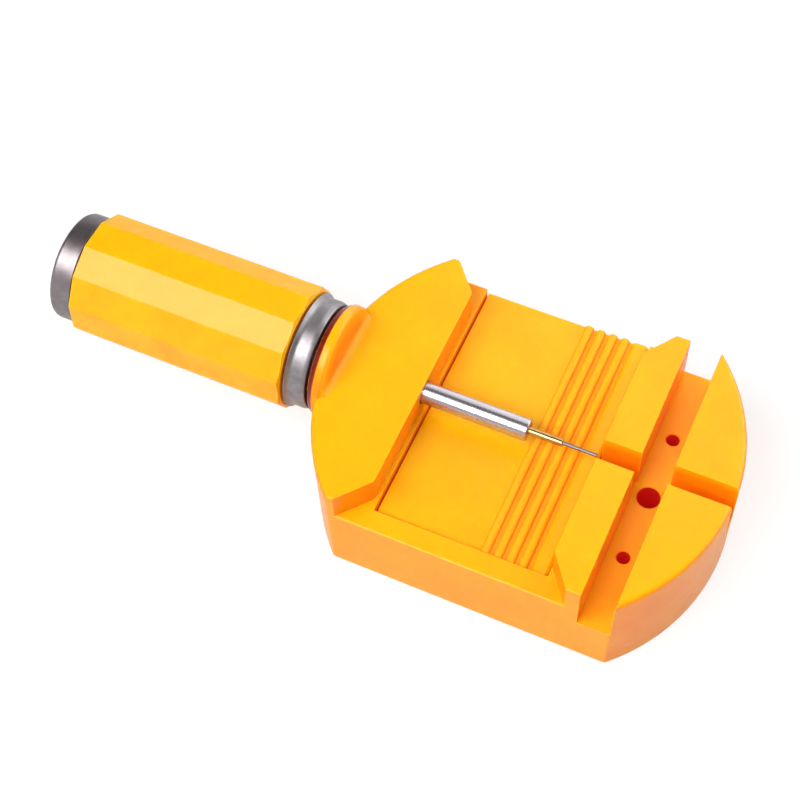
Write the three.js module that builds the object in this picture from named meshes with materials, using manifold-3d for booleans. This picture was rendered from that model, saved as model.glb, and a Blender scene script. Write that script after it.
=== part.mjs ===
// Watch link remover: a moulded bench block with a lifting bracelet tray, and a screw-fed push rod whose thin
// driver pin pushes a bracelet's link pins out through a slotted jaw.
// Millimetres, +Z up. +X runs from the handle to the front of the block. The origin lies on the bench, midway
// between the end cap and the front of the block.

import * as THREE from "three";
import { mergeVertices } from "three/addons/utils/BufferGeometryUtils.js";
import Module from "manifold-3d";

const wasm = await Module();
wasm.setup();

// Shared gaps, and how many sides rounds have
const CLEARANCE = 0.3; // between pieces that touch or slide on each other
const SEAT_EASE = CLEARANCE * (Math.SQRT2 - 1); // how far a countersink is sunk to keep that gap along its cone
const OVERRUN = 1; // how far a cut runs past the face that it opens
const ARC_STEPS = 24; // in each end arc of the block
const LARGE_STEPS = 48;
const ROUND_STEPS = 36;
const SMALL_STEPS = 20;
const TINY_STEPS = 12;

// Moulded block: a disc cut by two flats. Places along X count from the disc's centre.
const BLOCK_RADIUS = 46.8; // of the front arc, at the base
const BLOCK_REAR_RADIUS = 47; // of the rear arc, at the top
const FRONT_DRAFT = 0.3; // how far the front leans back over its height
const REAR_DRAFT = 0.8; // how far the rear draws in towards its base
const BLOCK_WIDTH = 68; // across the flats
const BLOCK_HEIGHT = 27.2;
const BLOCK_EDGE = 0.8; // rounding of the outer edges
const DECK_HEIGHT = 19.7;
const REAR_FACE = 24.4; // front face of the rear block, behind the centre
const REAR_CORNER = 30.7; // where that face's flared ends reach the flats
const JAW_FACE = 16.2; // rear face of the jaw, before the centre
const JAW_CORNER = 21.7;
const FACE_LENGTH = 53; // straight part of both faces
const CHANNEL_START = 24.9;
const CHANNEL_WIDTH = 7.25;
const CHANNEL_FLOOR = 14.4;
const PIN_SLOT_WIDTH = 4.8;
const PUNCH_HOLE_RADIUS = 2.45;
const SIDE_HOLE_RADIUS = 1.4;
const SIDE_HOLE_SPACING = 31.6;

// Hollow underside: cells between ribs, open at the bottom
const CELL_CEILING = 12.2;
const CELL_RIB = 1.8;
const SIDE_CELL_START = 28.5; // behind the centre
const SIDE_CELL_END = 22.5;
const SIDE_CELL_INNER = 17.2;
const SIDE_CELL_OUTER = 30.6;
const SIDE_CELLS = 4;
const MIDDLE_CELL_LENGTH = 9.2;
const MIDDLE_CELL_WIDTH = 26;
const MIDDLE_CELLS = 2;

// Neck flange on the rear of the block
const NECK_RADIUS = 13.3;
const NECK_REAR = 47.3; // behind the centre
const NECK_THICKNESS = 1.8;
const NECK_LIP = 0.6;
const NECK_FILLET = 0.9;
const NECK_DROP = 0.4; // how far its middle lies below the feed line

// Feed line: everything that turns or slides about one axis over the deck
const FEED_HEIGHT = 23.8;
const FEED_TRAVEL = 24; // how far the rod draws back from the place shown
const FEED_PITCH = 1.75;

// Push rod
const ROD_RADIUS = 2.5;
const ROD_FRONT = 0.1; // its front end, before the centre
const ROD_BORE_RADIUS = 1.2;
const ROD_BORE_DEPTH = 5.6;
const ROD_END_CHAMFER = 0.25;
const ROD_TAIL_RADIUS = 1.6;
const ROD_TAIL_LENGTH = 7.4;

// Driver: a brass holder with a steel pin
const HOLDER_RADIUS = 0.9;
const HOLDER_STICKOUT = 7.9;
const HOLDER_TAIL = 5.2;
const HOLDER_CHAMFER = 0.2;
const PIN_RADIUS = 0.35;
const PIN_STICKOUT = 7.8;
const PIN_SEAT = 2.4;
const PIN_BORE_GAP = 0.1;

// Threaded stem, which stands out of the neck and carries the handle
const STEM_FLANGE_RADIUS = 9.4;
const STEM_FLANGE_THICKNESS = 1.8;
const STEM_CREST_RADIUS = 6;
const STEM_THREAD_DEPTH = 0.7;
const STEM_LENGTH = 32;
const STEM_STEPS = 12; // steps in one turn of the thread
const STEM_ROWS = 4; // rows of points in one pitch
const STEM_SCREWS = 3;
const STEM_SCREW_CIRCLE = 7.7;
const STEM_SCREW_SPREAD = Math.PI / 3; // angle from one stem screw to the next
const STEM_SCREW_HEAD_RADIUS = 1.5;
const STEM_SCREW_SHANK_RADIUS = 0.8;
const STEM_SCREW_HEAD_HEIGHT = 0.8;
const STEM_SCREW_LENGTH = 8;

// Steel collar at the front of the handle
const COLLAR_RADIUS = 12.6;
const COLLAR_WAIST = 0.2; // how far its middle is drawn in
const COLLAR_FRONT = 47.9; // behind the centre
const COLLAR_RING_LENGTH = 3.7;
const COLLAR_SHOULDER_RADIUS = 13.45;
const COLLAR_SHOULDER_LENGTH = 1.4;
const COLLAR_LIP = 0.3;
const COLLAR_SPIGOT_RADIUS = 10.4;
const COLLAR_SPIGOT_LENGTH = 9;
const COLLAR_RECESS_DEPTH = 2.7;

// Handle grip: a twelve-sided moulded sleeve with a bulkhead
const GRIP_SIDES = 12;
const GRIP_RADIUS = 14.4; // to the corners
const GRIP_TURN = 0.2; // how far the first corner is turned from the top, in radians
const GRIP_FRONT_CHAMFER = 2.4;
const GRIP_REAR = 105.6; // behind the centre
const GRIP_CHAMBER_RADIUS = 8.2;
const GRIP_STORE_RADIUS = 10.2;
const BULKHEAD_THICKNESS = 2.6;
const BULKHEAD_REAR = 87.4;

// Washers and locknut that hold the rod to the bulkhead and let the handle turn about it
const WASHER_RADIUS = 4.4;
const WASHER_THICKNESS = 0.6;
const LOCKNUT_CORNER_RADIUS = 3.2;
const LOCKNUT_THICKNESS = 2.4;
const LOCKNUT_SIDES = 6;

// Spare drivers, kept in the handle
const SPARES = 3;
const SPARE_CIRCLE = 6.9;
const SPARE_SOCKET_DEPTH = 1.8;

// End cap
const CAP_RADIUS = 12.65;
const CAP_LENGTH = 6.7;
const CAP_WALL = 1.6;
const CAP_ROUND = 1.5;
const CAP_SPIGOT_LENGTH = 5.6;
const CAP_SPIGOT_WALL = 1.4;

// Bracelet tray
const TRAY_TOP = 18.1;
const TRAY_THICKNESS = 2.6;
const POCKET_REAR = 23.5; // behind the centre
const POCKET_NEAR = 28.95; // from the centre line to the closed side
const RIBS = 4;
const RIB_PITCH = 2.87;
const RIB_WIDTH = 1.9;
const RIB_HEIGHT = 0.9;
const RIB_STEPS = 6;
const FIRST_RIB = 1.75; // middle of the first rib, before the centre
const BROAD_RIB_WIDTH = 3.8;
const BROAD_RIB_HEIGHT = 0.65;
const BOSS_RADIUS = 5.4;
const BOSS_BORE_RADIUS = 3.3;
const BOSS_LENGTH = 9;

// Height wheel under the block
const WHEEL_PLACE = 3.7; // behind the centre
const WHEEL_FLANGE_RADIUS = 13;
const WHEEL_FLANGE_THICKNESS = 2.8;
const WHEEL_FACE_RADIUS = 10.6;
const WHEEL_RECESS = 0.4; // how far its face lies above the bench
const WHEEL_DISH_RADIUS = 8.8;
const WHEEL_DISH_DEPTH = 1.5;
const WHEEL_BAR_WIDTH = 3;
const WHEEL_SPIGOT_RADIUS = 3;
const WHEEL_SPIGOT_LENGTH = 8.2;
const WHEEL_NOTCHES = 18;
const WHEEL_NOTCH_RADIUS = 0.7;

// Base plate, let into the underside, and its screws
const PLATE_THICKNESS = 2;
const PLATE_INSET = 2.6; // width of the block's rim round the plate
const PLATE_SCREW_REAR = 36; // behind the centre
const PLATE_SCREW_FRONT = 36.5;
const PLATE_SCREW_SIDE = 17;
const PLATE_SCREW_HEAD_RADIUS = 2.5;
const PLATE_SCREW_SHANK_RADIUS = 1.3;
const PLATE_SCREW_HEAD_HEIGHT = 1.2;
const PLATE_SCREW_LENGTH = 9.5;
const CROSS_SLOT_WIDTH_SHARE = 0.22; // of the screw head's radius
const CROSS_SLOT_LENGTH_SHARE = 1.2;
const CROSS_SLOT_DEPTH_SHARE = 0.5; // of the head's height

// Places that follow from the sizes above
const FLAT_Y = BLOCK_WIDTH / 2;
const FACE_END = FACE_LENGTH / 2;
const CHANNEL_MIDDLE = CHANNEL_START + CHANNEL_WIDTH / 2;
const TRAY_UNDERSIDE = TRAY_TOP - TRAY_THICKNESS;
const POCKET_FLOOR = TRAY_UNDERSIDE - CLEARANCE;
const ROD_GUIDE_RADIUS = ROD_RADIUS + CLEARANCE / 2;
const ROD_REAR = BULKHEAD_REAR - BULKHEAD_THICKNESS - 2 * CLEARANCE - WASHER_THICKNESS;
const STEM_FRONT = NECK_REAR + CLEARANCE;
const COLLAR_REAR = COLLAR_FRONT + COLLAR_RING_LENGTH + COLLAR_SHOULDER_LENGTH;
const GRIP_FRONT = COLLAR_REAR + CLEARANCE;
const GRIP_FLAT_RADIUS = GRIP_RADIUS * Math.cos(Math.PI / GRIP_SIDES);
const CAP_FRONT = GRIP_REAR + CLEARANCE;
const CAP_REAR = CAP_FRONT + CAP_LENGTH;
const PLATE_TOP = PLATE_THICKNESS;
const WHEEL_SHELF = PLATE_TOP + CLEARANCE;
const WHEEL_TOP = WHEEL_SHELF + WHEEL_FLANGE_THICKNESS;

// Colours and finishes
const YELLOW_PLASTIC = { color: 0xffb01c, roughness: 0.34, metalness: 0 };
const YELLOW_TRAY = { color: 0xffb422, roughness: 0.38, metalness: 0 };
const YELLOW_GRIP = { color: 0xffb21a, roughness: 0.3, metalness: 0 };
const POLISHED_STEEL = { color: 0xb8b6b8, roughness: 0.22, metalness: 1 };
const BRIGHT_STEEL = { color: 0xd4d4d6, roughness: 0.14, metalness: 1 };
const PLATED_STEEL = { color: 0x9d9ea2, roughness: 0.35, metalness: 1 };
const BRASS = { color: 0xc9a45c, roughness: 0.24, metalness: 1 };

// A closed geometry as a solid that can be cut and joined
function solidOf(geometry) {
  const bare = geometry.clone();
  bare.deleteAttribute("normal");
  bare.deleteAttribute("uv");
  const merged = mergeVertices(bare);
  return new wasm.Manifold(
    new wasm.Mesh({
      numProp: 3,
      vertProperties: new Float32Array(merged.attributes.position.array),
      triVerts: new Uint32Array(merged.index.array),
    }),
  );
}

// A solid as a geometry with flat faces
function geometryOf(solid) {
  const mesh = solid.getMesh();
  const geometry = new THREE.BufferGeometry();
  geometry.setAttribute("position", new THREE.BufferAttribute(mesh.vertProperties, 3));
  geometry.setIndex(new THREE.BufferAttribute(mesh.triVerts, 1));
  geometry.computeVertexNormals();
  return geometry;
}

// One named sub-part
function piece(name, solid, finish) {
  const mesh = new THREE.Mesh(geometryOf(solid), new THREE.MeshStandardMaterial(finish));
  mesh.name = name;
  return mesh;
}

// A box between two corners
function box(low, high) {
  const size = high.map((value, axis) => value - low[axis]);
  const geometry = new THREE.BoxGeometry(...size);
  geometry.translate(...size.map((value, axis) => low[axis] + value / 2));
  return solidOf(geometry);
}

// An upright prism over an outline, from one height to another
function uprightPrism(shape, fromZ, toZ, steps = ARC_STEPS) {
  const options = { depth: toZ - fromZ, bevelEnabled: false, curveSegments: steps };
  const geometry = new THREE.ExtrudeGeometry(shape, options);
  geometry.translate(0, 0, fromZ);
  return solidOf(geometry);
}

// An upright round bar
function uprightBar(radius, fromZ, toZ, x, y, steps = SMALL_STEPS) {
  const geometry = new THREE.CylinderGeometry(radius, radius, toZ - fromZ, steps);
  geometry.rotateX(Math.PI / 2);
  geometry.translate(x, y, (fromZ + toZ) / 2);
  return solidOf(geometry);
}

// A body of revolution about X, from points [x, radius] that run towards +X
function turned(points, steps = ROUND_STEPS) {
  const profile = points.map(([x, radius]) => new THREE.Vector2(radius, x));
  const geometry = new THREE.LatheGeometry(profile, steps);
  geometry.rotateZ(-Math.PI / 2);
  return solidOf(geometry);
}

// A body of revolution about Z, from points [z, radius] that run upwards
function turnedUpright(points, steps = SMALL_STEPS) {
  const profile = points.map(([z, radius]) => new THREE.Vector2(radius, z));
  const geometry = new THREE.LatheGeometry(profile, steps);
  geometry.rotateX(Math.PI / 2);
  return solidOf(geometry);
}

// A plain round bar along X on the axis
function bar(radius, fromX, toX, steps = ROUND_STEPS) {
  return turned([[fromX, 0], [fromX, radius], [toX, radius], [toX, 0]], steps);
}

// An outline of two arcs and two flats
function blockOutline(frontRadius, rearRadius, flat) {
  const front = Math.asin(flat / frontRadius);
  const rear = Math.asin(flat / rearRadius);
  const shape = new THREE.Shape();
  shape.absarc(0, 0, frontRadius, -front, front);
  shape.absarc(0, 0, rearRadius, Math.PI - rear, Math.PI + rear);
  shape.closePath();
  return shape;
}

// The base plate's outline, or its recess's, drawn in from the block's base by an inset
function plateOutline(inset) {
  return blockOutline(BLOCK_RADIUS - inset, BLOCK_REAR_RADIUS - REAR_DRAFT - inset, FLAT_Y - inset);
}

// Leans the block's two ends: the front back towards the top, and the rear in towards the base
function leanEnds(geometry) {
  const place = geometry.attributes.position;
  for (let index = 0; index < place.count; index += 1) {
    const x = place.getX(index);
    const rise = place.getZ(index) / BLOCK_HEIGHT;
    const share = x > 0 ? (FRONT_DRAFT / BLOCK_RADIUS) * rise : (REAR_DRAFT / BLOCK_REAR_RADIUS) * (1 - rise);
    place.setX(index, x * (1 - share));
  }
}

// The raw block with rounded outer edges
function rawBlock() {
  const options = {
    depth: BLOCK_HEIGHT - 2 * BLOCK_EDGE,
    bevelThickness: BLOCK_EDGE,
    bevelSize: BLOCK_EDGE,
    bevelOffset: -BLOCK_EDGE,
    bevelSegments: 2,
    curveSegments: ARC_STEPS,
  };
  const outline = blockOutline(BLOCK_RADIUS, BLOCK_REAR_RADIUS, FLAT_Y);
  const geometry = new THREE.ExtrudeGeometry(outline, options);
  geometry.translate(0, 0, BLOCK_EDGE);
  leanEnds(geometry);
  return solidOf(geometry);
}

// The neck flange: a thick round lip behind the block, with a small fillet where its front stands on the top
function neckFlange() {
  const front = -NECK_REAR + NECK_THICKNESS;
  const neck = turned([
    [-NECK_REAR, 0],
    [-NECK_REAR, NECK_RADIUS - NECK_LIP],
    [-NECK_REAR + NECK_LIP / 3, NECK_RADIUS - NECK_LIP / 3],
    [-NECK_REAR + NECK_LIP, NECK_RADIUS],
    [front - NECK_LIP, NECK_RADIUS],
    [front - NECK_LIP / 3, NECK_RADIUS - NECK_LIP / 3],
    [front, NECK_RADIUS - NECK_LIP],
    [front, 0],
  ]);
  const wedge = new THREE.Shape();
  wedge.moveTo(-NECK_REAR + NECK_LIP, BLOCK_HEIGHT - BLOCK_EDGE);
  wedge.lineTo(front + NECK_FILLET, BLOCK_HEIGHT - BLOCK_EDGE);
  wedge.lineTo(front + NECK_FILLET, BLOCK_HEIGHT);
  wedge.lineTo(front, BLOCK_HEIGHT + NECK_FILLET);
  wedge.lineTo(-NECK_REAR + NECK_LIP, BLOCK_HEIGHT + NECK_FILLET);
  wedge.closePath();
  const middle = FEED_HEIGHT - NECK_DROP;
  const top = BLOCK_HEIGHT - middle;
  const reach = Math.sqrt((NECK_RADIUS - NECK_LIP) ** 2 - (top + NECK_FILLET) ** 2);
  return neck.translate([0, 0, middle]).add(prismAlongY(wedge, -reach, reach));
}

// The bay between the rear block and the jaw, flared at both flats
function bayCut() {
  const outside = FLAT_Y + OVERRUN;
  const bay = new THREE.Shape();
  bay.moveTo(-REAR_CORNER, -outside);
  bay.lineTo(JAW_CORNER, -outside);
  bay.lineTo(JAW_CORNER, -FLAT_Y);
  bay.lineTo(JAW_FACE, -FACE_END);
  bay.lineTo(JAW_FACE, FACE_END);
  bay.lineTo(JAW_CORNER, FLAT_Y);
  bay.lineTo(JAW_CORNER, outside);
  bay.lineTo(-REAR_CORNER, outside);
  bay.lineTo(-REAR_CORNER, FLAT_Y);
  bay.lineTo(-REAR_FACE, FACE_END);
  bay.lineTo(-REAR_FACE, -FACE_END);
  bay.lineTo(-REAR_CORNER, -FLAT_Y);
  bay.closePath();
  return uprightPrism(bay, DECK_HEIGHT, BLOCK_HEIGHT + OVERRUN);
}

// The pocket that the tray lies in, open at one flat
function pocketCut() {
  return box(
    [-POCKET_REAR, -POCKET_NEAR, POCKET_FLOOR],
    [JAW_FACE, FLAT_Y + OVERRUN, DECK_HEIGHT + OVERRUN],
  );
}

// The cross channel in front of the jaw
function channelCut() {
  const outside = FLAT_Y + OVERRUN;
  return box(
    [CHANNEL_START, -outside, CHANNEL_FLOOR],
    [CHANNEL_START + CHANNEL_WIDTH, outside, BLOCK_HEIGHT + OVERRUN],
  );
}

// The slot that the driver pin runs through, in the jaw and in the crescent before it
function pinSlotCut() {
  const half = PIN_SLOT_WIDTH / 2;
  return box(
    [JAW_FACE - OVERRUN, -half, CHANNEL_FLOOR],
    [BLOCK_RADIUS + OVERRUN, half, BLOCK_HEIGHT + OVERRUN],
  );
}

// Centres and radii of the three punch holes in the channel
function punchHoles() {
  const side = SIDE_HOLE_SPACING / 2;
  return [
    { y: 0, radius: PUNCH_HOLE_RADIUS },
    { y: -side, radius: SIDE_HOLE_RADIUS },
    { y: side, radius: SIDE_HOLE_RADIUS },
  ];
}

// One round cut for each punch hole, from under the base up to a height, wider by a gap
function punchCuts(toZ, gap) {
  return punchHoles().map(({ y, radius }) =>
    uprightBar(radius + gap, -OVERRUN, toZ, CHANNEL_MIDDLE, y),
  );
}

// A grid of hollow cells between ribs, cut from the underside
function cellCuts(low, high, columns, rows) {
  const cuts = [];
  const width = (high[0] - low[0] - (columns - 1) * CELL_RIB) / columns;
  const depth = (high[1] - low[1] - (rows - 1) * CELL_RIB) / rows;
  for (let column = 0; column < columns; column += 1) {
    for (let row = 0; row < rows; row += 1) {
      const x = low[0] + column * (width + CELL_RIB);
      const y = low[1] + row * (depth + CELL_RIB);
      cuts.push(box([x, y, 0], [x + width, y + depth, CELL_CEILING]));
    }
  }
  return cuts;
}

// All the cells under the block: a row along each flat, and some in the middle before and behind the wheel
function undersideCuts() {
  const middle = MIDDLE_CELL_WIDTH / 2;
  const frontEnd = SIDE_CELL_END;
  const rearEnd = -WHEEL_PLACE - WHEEL_FLANGE_RADIUS - CELL_RIB - CLEARANCE;
  return [
    ...cellCuts([-SIDE_CELL_START, SIDE_CELL_INNER], [SIDE_CELL_END, SIDE_CELL_OUTER], SIDE_CELLS, 1),
    ...cellCuts([-SIDE_CELL_START, -SIDE_CELL_OUTER], [SIDE_CELL_END, -SIDE_CELL_INNER], SIDE_CELLS, 1),
    ...cellCuts([frontEnd - MIDDLE_CELL_LENGTH, -middle], [frontEnd, middle], 1, MIDDLE_CELLS),
    ...cellCuts([rearEnd - MIDDLE_CELL_LENGTH, -middle], [rearEnd, middle], 1, MIDDLE_CELLS),
  ];
}

// The chamber that the height wheel turns in, and the bore for the tray's boss over it
function wheelChamberCuts() {
  return [
    uprightBar(WHEEL_FLANGE_RADIUS + CLEARANCE, 0, WHEEL_TOP + CLEARANCE, -WHEEL_PLACE, 0, ROUND_STEPS),
    uprightBar(BOSS_RADIUS + CLEARANCE, 0, POCKET_FLOOR + OVERRUN, -WHEEL_PLACE, 0, ROUND_STEPS),
  ];
}

// Where the four base screws stand
function plateScrewPlaces() {
  return [
    [-PLATE_SCREW_REAR, -PLATE_SCREW_SIDE],
    [-PLATE_SCREW_REAR, PLATE_SCREW_SIDE],
    [PLATE_SCREW_FRONT, -PLATE_SCREW_SIDE],
    [PLATE_SCREW_FRONT, PLATE_SCREW_SIDE],
  ];
}

// Where the stem's screws stand round the feed axis, as [y, z] from it: fanned about straight down
function stemScrewPlaces() {
  return Array.from({ length: STEM_SCREWS }, (_, index) => {
    const angle = (index - (STEM_SCREWS - 1) / 2) * STEM_SCREW_SPREAD;
    return [STEM_SCREW_CIRCLE * Math.sin(angle), -STEM_SCREW_CIRCLE * Math.cos(angle)];
  });
}

// Pilot holes for the stem's screws in the rear of the block
function stemPilotCuts() {
  return stemScrewPlaces().map(([y, z]) =>
    bar(
      STEM_SCREW_SHANK_RADIUS + CLEARANCE,
      -NECK_REAR - OVERRUN,
      -STEM_FRONT - STEM_FLANGE_THICKNESS + STEM_SCREW_LENGTH + CLEARANCE,
      TINY_STEPS,
    ).translate([0, y, FEED_HEIGHT + z]),
  );
}

// The moulded housing
function housing() {
  const plateRecess = uprightPrism(plateOutline(PLATE_INSET), -OVERRUN, PLATE_TOP + CLEARANCE);
  const guide = bar(ROD_GUIDE_RADIUS, -NECK_REAR - OVERRUN, -REAR_FACE + OVERRUN).translate([0, 0, FEED_HEIGHT]);
  const pilots = plateScrewPlaces().map(([x, y]) =>
    uprightBar(PLATE_SCREW_SHANK_RADIUS + CLEARANCE, 0, PLATE_SCREW_LENGTH + CLEARANCE, x, y, TINY_STEPS),
  );
  const cuts = [
    bayCut(),
    pocketCut(),
    channelCut(),
    pinSlotCut(),
    plateRecess,
    guide,
    ...punchCuts(CHANNEL_FLOOR + OVERRUN, 0),
    ...undersideCuts(),
    ...wheelChamberCuts(),
    ...stemPilotCuts(),
    ...pilots,
  ];
  return cuts.reduce((solid, cut) => solid.subtract(cut), rawBlock().add(neckFlange()));
}

// The base plate, with the wheel's opening, the punch holes and countersunk screw holes
function basePlate() {
  const plate = uprightPrism(plateOutline(PLATE_INSET + CLEARANCE), 0, PLATE_TOP);
  const opening = uprightBar(
    WHEEL_FACE_RADIUS + CLEARANCE, -OVERRUN, PLATE_TOP + OVERRUN, -WHEEL_PLACE, 0, ROUND_STEPS,
  );
  const seats = plateScrewPlaces().map(([x, y]) => screwSeat(x, y));
  const cuts = [opening, ...seats, ...punchCuts(PLATE_TOP + OVERRUN, CLEARANCE)];
  return cuts.reduce((solid, cut) => solid.subtract(cut), plate);
}

// A countersunk hole through the base plate
function screwSeat(x, y) {
  const mouth = PLATE_SCREW_HEAD_RADIUS + CLEARANCE;
  const hole = PLATE_SCREW_SHANK_RADIUS + CLEARANCE;
  const start = CLEARANCE + SEAT_EASE;
  const seat = turnedUpright(
    [
      [-OVERRUN, 0],
      [-OVERRUN, mouth],
      [start, mouth],
      [start + PLATE_SCREW_HEAD_HEIGHT, hole],
      [PLATE_TOP + OVERRUN, hole],
      [PLATE_TOP + OVERRUN, 0],
    ],
    TINY_STEPS,
  );
  return seat.translate([x, y, 0]);
}

// A cross recess for a screw driver, cut from one side of a plane at zero along an upright screw
function crossSlot(headRadius, headHeight) {
  const half = (headRadius * CROSS_SLOT_WIDTH_SHARE) / 2;
  const reach = (headRadius * CROSS_SLOT_LENGTH_SHARE) / 2;
  const depth = headHeight * CROSS_SLOT_DEPTH_SHARE;
  const along = box([-reach, -half, -OVERRUN], [reach, half, depth]);
  return along.add(box([-half, -reach, -OVERRUN], [half, reach, depth]));
}

// A countersunk screw that points up, its head's face at zero
function countersunkScrew(headRadius, headHeight, shankRadius, length) {
  const screw = turnedUpright(
    [
      [0, 0],
      [0, headRadius],
      [headHeight, shankRadius],
      [length - shankRadius, shankRadius],
      [length, 0],
    ],
    TINY_STEPS,
  );
  return screw.subtract(crossSlot(headRadius, headHeight));
}

// A base screw, its head a little inside the plate's underside
function plateScrew() {
  return countersunkScrew(
    PLATE_SCREW_HEAD_RADIUS,
    PLATE_SCREW_HEAD_HEIGHT,
    PLATE_SCREW_SHANK_RADIUS,
    PLATE_SCREW_LENGTH - CLEARANCE,
  );
}

// A half-round rib of the tray along Y, over the tray's top
function roundRib(x, nearY, farY) {
  const shape = new THREE.Shape();
  shape.moveTo(x - RIB_WIDTH / 2, TRAY_UNDERSIDE);
  shape.lineTo(x + RIB_WIDTH / 2, TRAY_UNDERSIDE);
  shape.lineTo(x + RIB_WIDTH / 2, TRAY_TOP);
  shape.absellipse(x, TRAY_TOP, RIB_WIDTH / 2, RIB_HEIGHT, 0, Math.PI);
  shape.closePath();
  return prismAlongY(shape, nearY, farY);
}

// The broad rib beside the jaw, with bevelled edges
function broadRib(frontX, nearY, farY) {
  const rearX = frontX - BROAD_RIB_WIDTH;
  const top = TRAY_TOP + BROAD_RIB_HEIGHT;
  const shape = new THREE.Shape();
  shape.moveTo(rearX, TRAY_UNDERSIDE);
  shape.lineTo(frontX, TRAY_UNDERSIDE);
  shape.lineTo(frontX, TRAY_TOP);
  shape.lineTo(frontX - BROAD_RIB_HEIGHT, top);
  shape.lineTo(rearX + BROAD_RIB_HEIGHT, top);
  shape.lineTo(rearX, TRAY_TOP);
  shape.closePath();
  return prismAlongY(shape, nearY, farY);
}

// A prism along Y over an outline drawn in X and Z
function prismAlongY(shape, nearY, farY) {
  const options = { depth: farY - nearY, bevelEnabled: false, curveSegments: RIB_STEPS };
  const geometry = new THREE.ExtrudeGeometry(shape, options);
  geometry.rotateX(Math.PI / 2);
  geometry.translate(0, farY, 0);
  return solidOf(geometry);
}

// The bracelet tray: a plate with ribs, and a threaded boss under it
function braceletTray() {
  const rearX = -POCKET_REAR + CLEARANCE;
  const frontX = JAW_FACE - CLEARANCE;
  const nearY = -POCKET_NEAR + CLEARANCE;
  const plate = box([rearX, nearY, TRAY_UNDERSIDE], [frontX, FLAT_Y, TRAY_TOP]);
  const ribs = Array.from({ length: RIBS }, (_, index) => roundRib(FIRST_RIB + index * RIB_PITCH, nearY, FLAT_Y));
  const boss = uprightBar(
    BOSS_RADIUS, TRAY_UNDERSIDE - BOSS_LENGTH, TRAY_UNDERSIDE + TRAY_THICKNESS / 2, -WHEEL_PLACE, 0, ROUND_STEPS,
  );
  const bore = uprightBar(
    BOSS_BORE_RADIUS, TRAY_UNDERSIDE - BOSS_LENGTH - OVERRUN, TRAY_UNDERSIDE, -WHEEL_PLACE, 0, SMALL_STEPS,
  );
  const joined = [...ribs, broadRib(frontX, nearY, FLAT_Y), boss].reduce((solid, rib) => solid.add(rib), plate);
  return joined.subtract(bore);
}

// The height wheel: a dished face with a grip bar, a captive notched flange and a threaded spigot
function heightWheel() {
  const wheel = turnedUpright(
    [
      [WHEEL_RECESS, 0],
      [WHEEL_RECESS, WHEEL_FACE_RADIUS],
      [WHEEL_SHELF, WHEEL_FACE_RADIUS],
      [WHEEL_SHELF, WHEEL_FLANGE_RADIUS],
      [WHEEL_TOP, WHEEL_FLANGE_RADIUS],
      [WHEEL_TOP, WHEEL_SPIGOT_RADIUS],
      [WHEEL_TOP + WHEEL_SPIGOT_LENGTH, WHEEL_SPIGOT_RADIUS],
      [WHEEL_TOP + WHEEL_SPIGOT_LENGTH, 0],
    ],
    ROUND_STEPS,
  );
  const floor = WHEEL_RECESS + WHEEL_DISH_DEPTH;
  const dish = uprightBar(WHEEL_DISH_RADIUS, 0, floor, 0, 0, ROUND_STEPS);
  const half = WHEEL_BAR_WIDTH / 2;
  const barLow = [-WHEEL_DISH_RADIUS, -half, WHEEL_RECESS];
  const grip = box(barLow, [WHEEL_DISH_RADIUS, half, floor]);
  const notches = Array.from({ length: WHEEL_NOTCHES }, (_, index) => {
    const angle = (index * 2 * Math.PI) / WHEEL_NOTCHES;
    const x = WHEEL_FLANGE_RADIUS * Math.cos(angle);
    const y = WHEEL_FLANGE_RADIUS * Math.sin(angle);
    return uprightBar(WHEEL_NOTCH_RADIUS, WHEEL_SHELF - OVERRUN, WHEEL_TOP + OVERRUN, x, y, WHEEL_NOTCHES / 3);
  });
  const dished = wheel.subtract(dish).add(grip);
  return notches.reduce((solid, notch) => solid.subtract(notch), dished);
}

// The thread's ridge: radius at a place along the axis and an angle round it
function threadRadius(row) {
  const rootRadius = STEM_CREST_RADIUS - STEM_THREAD_DEPTH;
  return row % STEM_ROWS < STEM_ROWS / 2 ? STEM_CREST_RADIUS : rootRadius;
}

// A threaded rod along X, longer than the stem at both ends. Each row of points climbs one pitch in a turn.
function threadedRod(fromX, toX) {
  const rows = (Math.ceil((toX - fromX) / FEED_PITCH) + 4) * STEM_ROWS;
  const points = [];
  for (let row = 0; row <= rows; row += 1) {
    for (let step = 0; step < STEM_STEPS; step += 1) {
      const angle = (step * 2 * Math.PI) / STEM_STEPS;
      const x = fromX - FEED_PITCH + FEED_PITCH * (row / STEM_ROWS + step / STEM_STEPS - 1);
      points.push(x, threadRadius(row) * Math.cos(angle), threadRadius(row) * Math.sin(angle));
    }
  }
  return { rows, points };
}

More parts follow.
